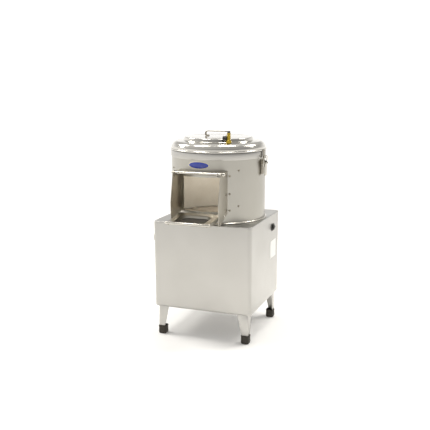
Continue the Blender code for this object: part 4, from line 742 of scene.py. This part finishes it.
@dataclass
class Studio:
    """Pale floor, soft lights and the camera."""

    distance: float = 3.0
    azimuth: float = 20.30
    elevation: float = 12.63
    height: float = 0.396
    lens: float = 60.28
    shift: Point = (-0.0084, 0.0437)
    floor_size: float = 60.0
    glow_reach: Point = (2.0, 6.0)
    glow_strength: Point = (0.12, 0.65)
    box_size: float = 0.9
    box_power: float = 32.0

    def build(self, bench: Bench) -> None:
        """Makes the camera, the floor, the sky and the lights."""
        self.camera(bench.axis)
        self.floor()
        self.sky()
        self.lights(bench.axis)

    def camera(self, axis: Vector) -> None:
        """Places the camera at the photograph's angle."""
        turn, lift = math.radians(self.azimuth), math.radians(self.elevation)
        back = Vector((math.sin(turn) * math.cos(lift), -math.cos(turn) * math.cos(lift), math.sin(lift)))
        target = axis + Vector((0, 0, self.height))
        bpy.ops.object.camera_add(location=target + back * self.distance)
        camera = bpy.context.object
        camera.name = "studio_camera"
        camera.rotation_mode = "QUATERNION"
        camera.rotation_quaternion = (-back).to_track_quat("-Z", "Y")
        camera.data.lens = self.lens
        camera.data.sensor_width = 36
        camera.data.shift_x, camera.data.shift_y = self.shift
        bpy.context.scene.camera = camera

    def floor(self) -> None:
        """Lays a pale floor that is faintly lit from within, as a light table is, more so far out."""
        bpy.ops.mesh.primitive_plane_add(size=self.floor_size, location=(0, 0, 0))
        floor = bpy.context.object
        floor.name = "studio_floor"
        paint = {"Base Color": linear("#F4F3F1"), "Roughness": 0.9, "Specular IOR Level": 0.0}
        paint["Emission Color"] = linear("#FFFDFA")
        made, shader = new_material("painted_floor_white", paint)
        tree = made.node_tree
        way = add_node(tree, "ShaderNodeTexCoord").outputs["Object"]
        away = add_node(tree, "ShaderNodeVectorMath", {"operation": "LENGTH"}, {0: way}).outputs[1]
        glow = ranged(tree, away, self.glow_reach, self.glow_strength)
        tree.links.new(glow, shader.inputs["Emission Strength"])
        floor.data.materials.append(made)

    def sky(self) -> None:
        """Makes the soft surround: bright low and behind, dimmer at the right front and half way up."""
        world = bpy.data.worlds.new("soft_surround")
        bpy.context.scene.world = world
        world.use_nodes = True
        tree = world.node_tree
        way = add_node(tree, "ShaderNodeTexCoord").outputs["Generated"]
        right_front = {"operation": "DOT_PRODUCT", 1: (0.82, -0.57, 0.0)}
        side = add_node(tree, "ShaderNodeVectorMath", right_front, {0: way}).outputs[1]
        height = add_node(tree, "ShaderNodeSeparateXYZ", {}, {0: way}).outputs[2]
        front = ranged(tree, side, (-0.6, 0.95), (1.22, 0.60))
        low = ranged(tree, height, (0.16, 0.34), (1.0, 0.50))
        high = ranged(tree, height, (0.50, 0.85), (1.0, 1.4))
        strength = times(tree, front, times(tree, low, high))
        tree.links.new(strength, tree.nodes["Background"].inputs["Strength"])
        tree.nodes["Background"].inputs["Color"].default_value = linear("#FFFEFC")

    def lights(self, axis: Vector) -> None:
        """Hangs four soft boxes in a row overhead and a small fill lamp inside the drum."""
        box = ((0, 0, 0.6), self.box_size, self.box_power)
        for name, place, (aim, size, power) in (
            ("box_far_left", (-2.3, 0.2, 2.4), box),
            ("box_left", (-1.0, -0.5, 3.2), box),
            ("box_right", (0.5, 0.1, 3.3), box),
            ("box_far_right", (1.6, 1.3, 2.6), box),
            ("drum_fill", (0.03, 0.0, 0.735), ((0, 0.13, 0.56), 0.12, 1.15)),
        ):
            spot = axis + Vector(place)
            bpy.ops.object.light_add(type="AREA", location=spot)
            lamp = bpy.context.object
            lamp.name = name
            lamp.rotation_mode = "QUATERNION"
            lamp.rotation_quaternion = (axis + Vector(aim) - spot).to_track_quat("-Z", "Y")
            lamp.data.size = size
            lamp.data.energy = power
            lamp.data.color = linear("#FFFDF8")[:3]


@dataclass
class Fastener:
    """Cross head screw that is modelled once and copied."""

    head: float = 4.2
    rise: float = 2.2
    slot: float = 1.0
    master: Optional[Piece] = None

    def build(self) -> None:
        """Turns the head, cuts its cross and keeps it as the master."""
        profile = [(0, self.rise), (1.6, 2.1), (2.9, 1.6), (3.8, 0.8)]
        profile += [(self.head, 0.0), (self.head, -0.4), (0, -0.4)]
        head = lathe("screw_master", profile, 20)
        for turn in (0, 90):
            bar = block("cross", (-2.4, -self.slot / 2, 0.9), (2.4, self.slot / 2, 4.0))
            carve(head, settle(bar, (0, 0, turn)))
        self.master = smooth(head, 40)

    def place(self, bench: Bench, name: str, places: Sequence[tuple[Point, Point]]) -> None:
        """Sets copies of the screw.

        Args:
            bench: where the pieces are set.
            name: the name of the group.
            places: for each screw its turn in degrees and its place in millimetres.
        """
        heads = [
            twin(self.master, f"{name}_{index}", turn, move) for index, (turn, move) in enumerate(places)
        ]
        bench.fit(join(name, heads), PLATED)

    def put_away(self) -> None:
        """Removes the master."""
        bpy.data.objects.remove(self.master, do_unlink=True)


def on_wall(azimuth: float, radius: float, height: float) -> tuple[Point, Point]:
    """Turn and place of a screw that stands out of the drum, at degrees to the right of the front."""
    angle = math.radians(azimuth)
    return (90, 12, azimuth), (radius * math.sin(angle), -radius * math.cos(angle), height)


@dataclass
class Cabinet:
    """Sheet metal cabinet with its wrapped front, top, rear panel and cable gland."""

    half_width: float = 205.0
    half_depth: float = 200.0
    corner: float = 22.0
    low: float = 123.0
    high: float = 475.0
    top: float = 5.0
    seam: float = -166.0
    fold: float = 15.0
    lean: float = 3.5
    sheet: float = 1.5
    louvres: int = 6
    louvre_low: float = 302.0
    louvre_pitch: float = 18.0

    def build(self, bench: Bench, screw: Fastener) -> None:
        """Builds and dresses the cabinet."""
        wall_top = self.high - self.top - 0.2
        bench.fit(self.front(wall_top), CABINET_SHEET, "cabinet_shell")
        bench.fit(self.body(wall_top), CABINET_SHEET, "cabinet_shell")
        bench.fit(self.cover(), CABINET_SHEET, "cabinet_top")
        bench.fit(self.rear(), CABINET_SHEET, "rear_panel")
        bench.fit(self.gland(), GREY_NYLON, "cable_gland")
        bench.fit(self.label(), WHITE_VINYL)
        bench.coat("base_plate", CABINET_SHEET)
        rows = [(x, z) for z in (158.0, 299.0, 440.0) for x in (-151.0, 151.0)]
        rows += [(0.0, 158.0), (0.0, 440.0)]
        screw.place(bench, "rear_panel_screws", [((-90, 10, 0), (x, 202.0, z)) for x, z in rows])

    def front(self, wall_top: float) -> Piece:
        """Wraps the front round both corners, with its lower hem leaning in."""
        x, y = self.half_width, self.half_depth
        line = rounded([(-x, self.seam), (-x, -y), (x, -y), (x, self.seam)], self.corner, False, 10)
        rise = wall_top - self.low - self.fold
        piece = ribbon("cabinet_front", flat(line, self.low), (0, 0, self.fold), (0, 0, rise))
        choose(piece, lambda p: p.z < self.low + 1)
        pinch((1, 1 - self.lean / (y + self.seam), 1), (0, self.seam, 0))
        thicken(settle(shut(piece)), self.sheet)
        return smooth(piece, FLAT_ANGLE)

    def body(self, wall_top: float) -> Piece:
        """Wraps sides and rear, with the window behind the rear panel."""
        x, y = self.half_width - 0.4, self.half_depth
        line = rounded([(x, self.seam + 0.9), (x, y), (-x, y), (-x, self.seam + 0.9)], self.corner, False, 10)
        piece = ribbon("cabinet_body", flat(line, self.low), (0, 0, wall_top - self.low))
        thicken(settle(shut(piece)), self.sheet)
        carve(piece, plate("window", facing(rectangle(-145, 164, 145, 434, 8), y - 20), (0, 40, 0)))
        return smooth(piece, FLAT_ANGLE)

    def cover(self) -> Piece:
        """Makes the top with its rounded shoulder and the drum's opening."""
        x, y = self.half_width, self.half_depth
        outline = rectangle(-x, -y, x, y, self.corner, 10)
        piece = plate("cabinet_cover", flat(outline, self.high - self.top), (0, 0, self.top))
        edit(piece)
        choose(piece, lambda p: p.z > self.high - 0.1, Pick.EDGES)
        bpy.ops.mesh.bevel(offset=2.6 * MM, segments=5, affect="EDGES")
        shut(piece)
        carve(piece, peg("opening", 186, 440, 500, 96))
        return smooth(piece, 30)

    def rear(self) -> Piece:
        """Makes the rear panel with six pressed louvres."""
        outline = rectangle(-157, 152, 157, 446, 8)
        piece = plate("rear_service_panel", facing(outline, 200.3), (0, self.sheet, 0))
        hoods = []
        for row in range(self.louvres):
            height = self.louvre_low + self.louvre_pitch * row
            carve(piece, block("slot", (-57, 198, height - 3), (57, 204, height + 2)))
            hoods.append(self.louvre(f"louvre_{row}", height))
        smooth(soften(piece, 0.5, 2), 20)
        return join("rear_service_panel", [piece, *hoods])

    def louvre(self, name: str, height: float) -> Piece:
        """Presses one louvre hood out of a scaled ball that is cut twice."""
        clear()
        bpy.ops.mesh.primitive_uv_sphere_add(segments=32, ring_count=16, radius=MM)
        hood = named(bpy.context.object, name)
        hood.scale = (60, 5.2, 7)
        edit(settle(hood))
        bpy.ops.mesh.bisect(plane_co=(0, 0, 0), plane_no=(0, 1, 0), clear_inner=True)
        mark_all()
        bpy.ops.mesh.bisect(plane_co=(0, 0, -2.8 * MM), plane_no=(0, 0, 1), clear_inner=True)
        thicken(shut(hood), 0.8)
        return smooth(settle(hood, move=(0, 201.7, height)), 50)

    def gland(self) -> Piece:
        """Turns the cable gland, with its hexagon and ribbed nose."""
        nose = [(0, 0), (12.4, 0), (12.4, 2.0), (9.4, 2.4), (9.4, 10)]
        nose += [(9.8, 10.6), (9.8, 16), (9.2, 18), (8.6, 20.6), (7.4, 21.9), (4.6, 21.9), (4.4, 2), (0, 2)]
        body = lathe("gland_body", nose, 40)
        hexagon = lathe("gland_nut", [(0, 0), (14, 0), (14, 5.6), (13, 6.4), (0, 6.4)], 6)
        carve(hexagon, peg("hollow", 9.9, -1, 9, 24))
        soften(hexagon, 0.4, 2, 30)
        gland = join("cord_gland", [smooth(body), settle(hexagon, move=(0, 0, 6.0))])
        return settle(gland, (-90, 0, 0), (0, 202.2, 199))

    def label(self) -> Piece:
        """Cuts the blank label on the right side."""
        outline = rectangle(69, 290, 148, 363, 3)
        film = plate("side_label", sideways(outline, self.half_width - 0.35), (0.5, 0, 0))
        return smooth(film, 30)


@dataclass
class Legs:
    """Four tapered angle legs with rubber boots."""

    x: float = 192.0
    y: float = 187.0
    high: float = 122.7
    low: float = 8.3
    wide: float = 45.0
    narrow: float = 20.0
    sheet: float = 2.5
    boot: float = 33.7
    proud: float = 3.3

    def build(self, bench: Bench) -> None:
        """Builds one leg and one boot and copies them to the four corners."""
        leg = self.leg()
        boot = self.rubber()
        for depth, across_y in (("front", 1), ("rear", -1)):
            for side, across_x in (("left", -1), ("right", 1)):
                across = (across_x, across_y, 1)
                made = mirrored(leg, f"angle_leg_{depth}_{side}", across)
                bench.fit(smooth(made, 30), LEG_SHEET, f"leg_{depth}_{side}")
                made = mirrored(boot, f"rubber_boot_{depth}_{side}", across)
                bench.fit(smooth(made, 40), BOOT_RUBBER, f"foot_{depth}_{side}")
        bpy.data.objects.remove(leg, do_unlink=True)
        bpy.data.objects.remove(boot, do_unlink=True)

    def leg(self) -> Piece:
        """Bends and tapers the right front leg."""
        x, y = self.x, -self.y
        line = rounded([(x - self.wide, y), (x, y), (x, y + self.wide)], 7, False, 6)
        piece = ribbon("leg_master", flat(line, self.high), (0, 0, self.low - self.high))
        share = self.narrow / self.wide
        pinch((share, share, 1), (x, y, 0))
        thicken(settle(shut(piece)), self.sheet)
        return soften(piece, 0.5, 2, 60)

    def rubber(self) -> Piece:
        """Moulds the right front boot: a cup with a lip, open at the top."""
        right = self.x + self.proud
        front = -self.y - self.proud
        outline = rectangle(right - self.boot, front, right, front + self.boot, 8)
        piece = filled("boot_master", flat(outline, 0))
        middle = (right - self.boot / 2, front + self.boot / 2, 0)
        for rise, share in ((0.0, 0.80), (2.5, 1.15), (4.5, 1.08), (21.0, 0.96), (1.0, 1.045), (6.0, 1.0)):
            if rise:
                push((0, 0, rise))
            pinch((share, share, 1), middle)
        bpy.ops.mesh.inset(thickness=2.6 * MM)
        push((0, 0, -27.0))
        shut(piece)
        return soften(settle(piece), 0.7, 3, 40)


@dataclass
class Drum:
    """The drum's shell, collar, base bead, grit liner and badge."""

    radius: float = 190.0
    low: float = 475.3
    high: float = 749.0
    sheet: float = 1.5
    half_opening: float = 95.0
    sill: float = 523.0
    head: float = 658.0
    steps: int = 128
    badge_half: float = 44.0
    badge_tall: float = 15.0
    badge_height: float = 704.0
    badge_turn: float = -3.8

    def build(self, bench: Bench, screw: Fastener) -> None:
        """Builds and dresses the drum."""
        shell = self.wall("drum_wall", self.radius - self.sheet, self.radius, self.low, self.high)
        # The drum sheet's darker tone is painted shade.
        bench.fit(shell, SHADED_DRUM_SHEET, "drum_shell")
        bench.fit(self.wall("grit_liner", 186.2, 188.2, 481.3, 738.3), GRIT, "drum_liner")
        bench.fit(self.collar(), CABINET_SHEET, "drum_collar")
        bench.fit(self.bead(), BRIGHT, "drum_base_ring")
        bench.fit(self.badge(0.0, "badge_border"), PALE_ENAMEL, "badge_plate")
        bench.fit(self.badge(2.6, "badge_face"), BLUE_ENAMEL)
        heights = [(44.3, 684), (44.3, 545), (-49.4, 682), (-49.4, 545)]
        heights += [(133, 684), (133, 545), (-133, 684), (-133, 545)]
        screw.place(bench, "drum_screws", [on_wall(a, self.radius + 0.2, z) for a, z in heights])

    def mouth(self) -> Piece:
        """The cutter of the opening."""
        outline = rectangle(-self.half_opening, self.sill, self.half_opening, self.head, 7)
        return plate("mouth", facing(outline, -240), (0, 145, 0))

    def wall(self, name: str, inner: float, outer: float, low: float, high: float) -> Piece:
        """Rolls the shell or the liner and cuts its opening."""
        return smooth(carve(tube(name, inner, outer, low, high, self.steps), self.mouth()), 30)

    def collar(self) -> Piece:
        """Turns the raised band at the top with its rolled edges."""
        inner = self.radius + 0.3
        ring = [(inner, 724), (inner + 1.4, 724), (inner + 2.0, 724.9), (inner + 2.0, 747.6)]
        ring += [(inner + 1.5, 748.8), (inner + 0.6, 749.0), (inner, 748.4)]
        return smooth(lathe("drum_hoop", ring, self.steps, True), 40)

    def bead(self) -> Piece:
        """Turns the bright bead round the foot of the drum."""
        ring = rounded([(190.3, 475.3), (197.5, 475.3), (197.5, 479.5), (194.0, 482.0), (190.3, 482.0)], 1.8)
        return smooth(lathe("foot_bead", ring, self.steps, True), 60)

    def badge(self, inset: float, name: str) -> Piece:
        """Presses one layer of the blank oval badge.

        Args:
            inset: how far the layer's edge lies inside the border's edge.
            name: the layer's name.

        Returns:
            The layer, curved to the drum.
        """
        half, tall = self.badge_half - inset, self.badge_tall - inset
        turns = [math.tau * index / 48 for index in range(48)]
        outline = [
            (half * math.cos(turn), -self.radius - 12, self.badge_height + tall * math.sin(turn))
            for turn in turns
        ]
        piece = plate(name, outline, (0, 24, 0))
        proud = 1.0 + (0.35 if inset else 0.0)
        carve(piece, tube("skin", 190.3, 190.3 + proud, 680, 730, 256), "INTERSECT")
        return settle(soften(piece, 0.3, 2, 50), (0, 0, self.badge_turn))


@dataclass
class Chute:
    """Discharge chute: two cheeks, a canopy, a tie rod and its nuts."""

    inner: float = 96.0
    sheet: float = 1.5
    top: float = 684.0
    rail: Point = (0.0, -226.0, 677.5)

    def build(self, bench: Bench, screw: Fastener) -> None:
        """Builds and dresses the chute."""
        right = self.cheek()
        left = mirrored(right, "cheek_left")
        bench.fit(right, CHUTE_SHEET, "chute_cheek_right")
        bench.fit(left, CHUTE_SHEET, "chute_cheek_left")
        bench.fit(self.canopy(), CHUTE_SHEET, "chute_canopy")
        bench.fit(self.rod(), BRIGHT, "chute_tie_rod")
        for side, name in ((1, "right"), (-1, "left")):
            bench.fit(self.nut(name, side), BRIGHT, f"tie_rod_nut_{name}")
        places = [on_wall(side * 33.2, 192.0, z) for z in (664, 594, 530) for side in (-1, 1)]
        for side in (-1, 1):
            places += [((90, 12, 90 * side), (side * 97.6, -182.7, z)) for z in (594, 530)]
        screw.place(bench, "chute_screws", places)

    def cheek(self) -> Piece:
        """Bends the right cheek, with its hemmed front edge and its flange on the drum."""
        edge = [(-163.9, self.top), (-240, self.top), (-267, 566), (-264, 486), (-254, 482.5), (-163.9, 519)]
        outline = rounded(edge, [0.5, 7, 60, 5, 4, 4], True, 5)
        side = plate("cheek_right", sideways(outline, self.inner), (self.sheet, 0, 0))
        smooth(soften(side, 0.35, 2, 30), 20)
        fold = rounded([(-242.0, 675), (-266.4, 566), (-263.6, 492)], 60, False, 6)
        hem = wire("hem", sideways(fold, self.inner + 0.9), 1.5)
        start = math.degrees(math.asin(97.2 / 190.6))
        flange = lathe("flange", rectangle(190.4, 519, 191.9, self.top, 0.3, 2), 8, False, 5.6)
        settle(flange, (0, 0, start - 90))
        return join("cheek_right", [side, hem, smooth(flange, 40)])

    def canopy(self) -> Piece:
        """Cuts the canopy to the drum's curve and folds its front edge."""
        half, radius, steps = self.inner - 0.3, 190.4, 16
        reach = math.asin(half / radius)
        turns = [reach * (1 - 2 * index / steps) for index in range(steps + 1)]
        rear = [(radius * math.sin(turn), -radius * math.cos(turn)) for turn in turns]
        outline = [(half, -217.7), *rear, (-half, -217.7)]
        roof = plate("chute_roof", [(x, y, self.top - 1.5) for x, y in outline], (0, 0, 1.5))
        lip = block("lip", (-half, -217.7, self.top - 6), (half, -216.4, self.top - 1.2), 0.3)
        return join("chute_roof", [soften(roof, 0.4, 2, 40), smooth(lip)])

    def rod(self) -> Piece:
        """Turns the tie rod with its two collars."""
        half = [(0, 103.5), (5.2, 103.5), (5.2, 83), (7.2, 82.4), (8, 81.4), (8, 78), (7.2, 76.6), (5.2, 76)]
        rod = lathe("mouth_rail", both_ways(half), 32)
        return settle(smooth(rod, 40), (0, 90, 0), self.rail)

    def nut(self, name: str, side: int) -> Piece:
        """Turns a dome nut with its washer."""
        dome = [(0, 12), (2.6, 11.6), (4.8, 10.4), (6.3, 8.2), (7.0, 5.6)]
        dome += [(7.2, 1.6), (8.4, 1.4), (8.4, 0), (0, 0)]
        piece = smooth(lathe(f"dome_nut_{name}", dome, 32), 40)
        return settle(piece, (0, 90 * side, 0), (side * 97.8, *self.rail[1:]))


@dataclass
class Door:
    """The open door: dished panel, a dark rubber sheet in the dish as painted shade, rail and hinge pin,
    about the hinge's place.
    """

    hinge: Point = (0.0, -200.0, 513.0)
    slope: float = 5.5
    half: float = 86.0
    length: float = 129.2
    rail_y: float = -135.0

    def build(self, bench: Bench) -> None:
        """Builds and dresses the door."""
        panel = join("door_tray", [self.panel(), self.dish(), *self.flanges(), self.knuckle()])
        bench.fit(self.hang(panel), CHUTE_SHEET, "door_panel", body=Body.DOOR)
        # A dark rubber sheet lies in the dish as painted shade, where the steel dish is only in shadow.
        shade_sheet = plate("dish_painted_shade", flat(self.outline(-3.6), -8.7), (0, 0, 2.6))
        soften(shade_sheet, 0.6, 2, 40)
        bench.fit(self.hang(shade_sheet), PAD_RUBBER, "door_pad", body=Body.DOOR)
        bench.fit(self.hang(self.rail()), BRIGHT, "door_handle_rod", body=Body.DOOR)
        pin = lathe("hinge_rod", both_ways([(0, 101), (2.4, 101), (3, 100.2)]), 24)
        settle(pin, (0, 90, 0), self.hinge)
        bench.fit(smooth(pin, 40), BRIGHT, "door_hinge_pin")

    def hang(self, piece: Piece) -> Piece:
        """Slopes a piece of the door and sets it at the hinge."""
        return settle(piece, (self.slope, 0, 0), self.hinge)

    def outline(self, grow: float) -> list[Vector]:
        """The dish's outline, let out by a distance, with wide round corners at the hinge."""
        half, rear, front = 63 + grow, -26 + grow, -123 - grow
        return rectangle(-half, front, half, rear, [8, 8, 34 + grow, 34 + grow], 10)

    def panel(self) -> Piece:
        """Cuts the flat panel and the hole of its dish."""
        x, y = self.half, self.length
        outline = rounded([(-x, -3.0), (-x, -y), (x, -y), (x, -3.0)], [1, 4, 4, 1])
        sheet = plate("door_sheet", flat(outline, 3.5), (0, 0, 1.5))
        carve(sheet, plate("hole", flat(self.outline(0), 0), (0, 0, 12)))
        return smooth(soften(sheet, 0.4, 2, 40), 20)

    def dish(self) -> Piece:
        """Presses the dish with its sloping wall."""
        dish = filled("dish", flat(self.outline(0.4), 4.9))
        for drop, share in ((-2.0, 1.0), (-10.5, 0.965), (-1.6, 0.95)):
            push((0, 0, drop))
            pinch((share, share, 1), (0, -74, 0))
        edit(settle(shut(dish)))
        choose(dish, lambda p: p.z > 4.8, Pick.FACES)
        bpy.ops.mesh.delete(type="FACE")
        return smooth(thicken(dish, 1.0), 50)

    def flanges(self) -> list[Piece]:
        """Folds the side flanges down from the panel."""
        side = [(-8, 5), (-self.length, 5), (-self.length, -7), (-14, -7), (-8, 3)]
        outline = rounded(side, [1, 2, 4, 4, 1], True, 4)
        right = plate("flange_right", sideways(outline, self.half - 1.5), (1.5, 0, 0))
        soften(right, 0.35, 2, 40)
        lip = block("lip", (-self.half + 1, -self.length, -2.5), (self.half - 1, 1.5 - self.length, 4.6), 0.4)
        return [right, mirrored(right, "flange_left"), smooth(lip)]

    def knuckle(self) -> Piece:
        """Rolls the tube that the hinge pin runs in."""
        return settle(smooth(tube("knuckle", 3.3, 5, -self.half, self.half, 28), 40), (0, 90, 0))

    def rail(self) -> Piece:
        """Turns the rail along the door's edge, with its domed ends and end bolts."""
        half = [(0, 92), (3.0, 91.6), (4.8, 90.3), (5.5, 88.5)]
        rail = smooth(lathe("door_rail", both_ways(half), 36), 40)
        parts = [settle(rail, (0, 90, 0), (0, self.rail_y, 2.25))]
        for side in (-1, 1):
            bolt = lathe("bolt", [(0, 0), (4.6, 0), (4.6, 1.6), (3.6, 2.6), (0, 2.8)], 6)
            soften(bolt, 0.3, 2, 30)
            parts.append(settle(bolt, (180, 0, 0), (side * 78, self.rail_y, -3.1)))
        return join("door_rail", parts)


@dataclass
class Lid:
    """Polished lid with its strap handle, gasket and catches."""

    top: float = 801.0
    rim: float = 751.8

    def build(self, bench: Bench) -> None:
        """Builds and dresses the lid."""
        bench.fit(self.shell(), LID_SHEET, "lid_pan", body=Body.LID)
        bench.fit(self.handle(), PLATED, "lid_handle", body=Body.LID)
        ring = rectangle(187, 749.4, 193.5, 751.5, 0.8, 3)
        bench.fit(smooth(lathe("rim_seal", ring, 128, True), 50), PAD_RUBBER, "lid_gasket", body=Body.LID)
        for side in ("left", "right"):
            bench.refine(f"lid_catch_{side}", f"catch_hook_{side}", PLATED, Body.LID, 0.3)

    def shell(self) -> Piece:
        """Spins the lid: flat crown, step, land, round shoulder, wall and rim."""
        top = self.top
        corners = [
            (0, top), (138.5, top), (141.5, top - 13), (174, top - 16), (184.5, top - 23.5),
            (191.5, top - 36), (191.5, self.rim + 4.5), (196, self.rim + 4.5), (196, self.rim),
        ]
        radii = [0, 3.5, 2.5, 9, 16, 12, 1.5, 1.2, 0]
        piece = lathe("lid_shell", rounded(corners, radii, False), 144)
        return smooth(thicken(piece, 1.5), 50)

    def handle(self) -> Piece:
        """Bends the strap handle and rivets its feet."""
        mid, half, low, high = -5.0, 50.5, self.top + 1.8, self.top + 19.5
        line = [
            (mid - 36, low), (mid - half, low), (mid - half, high),
            (mid + half, high), (mid + half, low), (mid + 36, low),
        ]
        path = rounded(line, [0, 5, 16, 16, 5, 0], False, 8)
        strap = ribbon("strap_handle", facing(path, -7.5), (0, 15, 0))
        thicken(settle(shut(strap)), 3.0, 0.0)
        soften(strap, 1.0, 3, 50)
        parts = [strap]
        for side in (-1, 1):
            rivet = lathe("rivet", [(0, 2.2), (1.8, 1.9), (3.2, 0.9), (3.8, 0), (0, 0)], 20)
            parts.append(settle(smooth(rivet), move=(mid + side * 40.5, 0, low + 1.3)))
        return join("strap_handle", parts)


@dataclass
class Inlet:
    """Brass water inlet on the lid with its tap, union and spray nozzle."""

    x: float = 92.27
    y: float = -136.79
    seat: float = 787.1

    def build(self, bench: Bench) -> None:
        """Builds and dresses the inlet."""
        body = [
            (0, 40.0), (5.8, 40.0), (7, 39.0), (7, 33), (6.4, 32.4), (6.4, 30), (7, 29.4), (7, 13),
            (8.2, 12), (8.2, 10.6), (10.5, 9.8), (10.5, 0.8), (10.1, 0), (0, 0),
        ]
        valve = smooth(lathe("inlet_valve", body, 36), 40)
        settle(valve, move=(self.x, self.y, self.seat))
        bench.fit(valve, TURNED_BRASS, "water_inlet_body", body=Body.LID)
        bench.fit(self.union(), BLACK_ABS, "inlet_union", body=Body.LID)
        bench.fit(self.nozzle(), TURNED_BRASS, "spray_nozzle", body=Body.LID)
        bench.fit(self.tap(), GREY_NYLON, "tap_lever", body=Body.TAP)

    def union(self) -> Piece:
        """Turns the hose union with its ribs."""
        ring = [(4, 7.3), (8.5, 7.3), (8.5, 12), (7.6, 12.6), (7.6, 14.2), (8.3, 14.8), (8.3, 16.6)]
        ring += [(7.4, 17.2), (7.4, 19), (8.1, 19.6), (8.1, 22), (7.4, 23.3), (4, 23.3)]
        piece = smooth(lathe("hose_union", ring, 32, True), 40)
        return settle(piece, (0, -90, 0), (self.x, self.y, self.seat + 19))

    def nozzle(self) -> Piece:
        """Turns the spray nozzle under the lid."""
        body = [(0, 12), (9.5, 12), (9.5, 5), (8.4, 1.8), (6.2, 0.4), (0, 0)]
        piece = smooth(lathe("spray_rose", body, 32), 40)
        return settle(piece, move=(self.x, self.y, self.seat - 15.9))

    def tap(self) -> Piece:
        """Makes the tap's cap with its arm."""
        cap = smooth(lathe("tap_handle", [(0, 7), (4.6, 7), (5.6, 6.4), (6, 5.4), (6, 0), (0, 0)], 28), 40)
        arm = block("arm", (-16, -2, 2.4), (-3, 2, 5.4), 0.8)
        tap = join("tap_handle", [cap, smooth(arm)])
        return settle(tap, move=(self.x, self.y, self.seat + 40.3))


@dataclass
class Latches:
    """Toggle latches at both sides of the drum."""

    def build(self, bench: Bench) -> None:
        """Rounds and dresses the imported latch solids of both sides."""
        for side, lever, loop in (
            ("left", Body.LEVER_LEFT, Body.LOOP_LEFT),
            ("right", Body.LEVER_RIGHT, Body.LOOP_RIGHT),
        ):
            bench.refine(f"latch_base_{side}", f"toggle_base_{side}", PLATED, Body.CABINET, 0.3)
            bench.refine(f"latch_lever_{side}", f"toggle_lever_{side}", BRIGHT, lever, 0.5)
            bench.refine(f"latch_loop_{side}", f"toggle_wire_{side}", BRIGHT, loop, 0.1)


@dataclass
class Switch:
    """Rotary switch on the right side of the cabinet."""

    y: float = 98.0
    z: float = 421.0
    wall: float = 205.0
    flutes: int = 12

    def build(self, bench: Bench) -> None:
        """Builds and dresses the bezel and the knob."""
        bezel = block("switch_frame", (0.2, -14, -14), (3.2, 14, 14), 0.9)
        carve(bezel, settle(peg("hole", 4.3, -5, 9, 24), (0, 90, 0)))
        ring = lathe("dial_ring", [(12.2, 3.0), (13.2, 3.0), (13.2, 3.4), (12.2, 3.4)], 48, True)
        frame = join("switch_frame", [bezel, settle(ring, (0, 90, 0))])
        settle(smooth(frame), move=(self.wall, self.y, self.z))
        bench.fit(frame, BLACK_ABS, "switch_bezel")
        bench.fit(self.knob(), BLACK_ABS, "switch_knob", body=Body.SWITCH)
        bench.coat("switch_box", BLACK_ABS)

    def knob(self) -> Piece:
        """Turns the knob, flutes its skirt and adds the grip."""
        skirt = [(0, 4.0), (10.0, 4.0), (11.0, 3.3), (11.5, 1.8), (12, 1.2), (12, 0.2), (0, 0.2)]
        knob = lathe("rotary_knob", skirt, 48)
        for index in range(self.flutes):
            angle = math.tau * (index + 0.5) / self.flutes
            spot = (11.8 * math.cos(angle), 11.8 * math.sin(angle), 0)
            carve(knob, settle(peg("flute", 1.3, 1.4, 9, 12), move=spot))
        smooth(knob, 35)
        grip = block("grip", (-9.5, -2.6, 3), (9.5, 2.6, 5.9), 0.8)
        mark = block("mark", (4.5, -0.5, 5.7), (8.5, 0.5, 6.1), 0.15)
        whole = join("rotary_knob", [knob, smooth(grip), smooth(mark)])
        settle(whole, (0, 0, 90))
        return settle(whole, (0, 90, 0), (self.wall + 3.6, self.y, self.z))


@dataclass
class Wet:
    """Waste outlet and what can be seen inside the drum and the cabinet."""

    def build(self, bench: Bench) -> None:
        """Coats the outlet and the hidden solids, and shows a rounded copy of the disc."""
        bench.coat("drain_pipe", DRAIN_PLASTIC)
        bench.coat("waste_pan", CABINET_SHEET)
        bench.refine("abrasive_disc", "grit_disc", DISC_GRIT, Body.DISC, 0.4)
        for node, finish in (
            ("bearing_housing", CAST), ("large_pulley", CAST), ("motor_pulley", CAST),
            ("main_shaft", MACHINED), ("motor_shaft", MACHINED), ("upper_bearing", MACHINED),
            ("lower_bearing", MACHINED), ("shaft_seal", PAD_RUBBER), ("drive_belt", PAD_RUBBER),
            ("motor_body", MOTOR_PAINT), ("motor_bracket", CABINET_SHEET),
        ):
            bench.coat(node, finish)


def corners(low: Vector, high: Vector) -> list[list[float]]:
    """Two corners as plain lists of numbers."""
    return [[round(value, 6) for value in low], [round(value, 6) for value in high]]


def main() -> None:
    """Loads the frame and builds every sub-assembly."""
    logging.basicConfig(level=logging.INFO, format="%(message)s")
    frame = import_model()
    low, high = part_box("abrasive_disc")
    bench = Bench(Vector(((low.x + high.x) / 2, (low.y + high.y) / 2, 0)), frame["nodes"])
    bpy.context.scene.view_settings.view_transform = "Standard"
    Studio().build(bench)
    screw = Fastener()
    screw.build()
    Cabinet().build(bench, screw)
    Legs().build(bench)
    Drum().build(bench, screw)
    Chute().build(bench, screw)
    Door().build(bench)
    Lid().build(bench)
    Inlet().build(bench)
    Latches().build(bench)
    Switch().build(bench)
    Wet().build(bench)
    screw.put_away()
    clear()


if __name__ == "__main__":
    main()
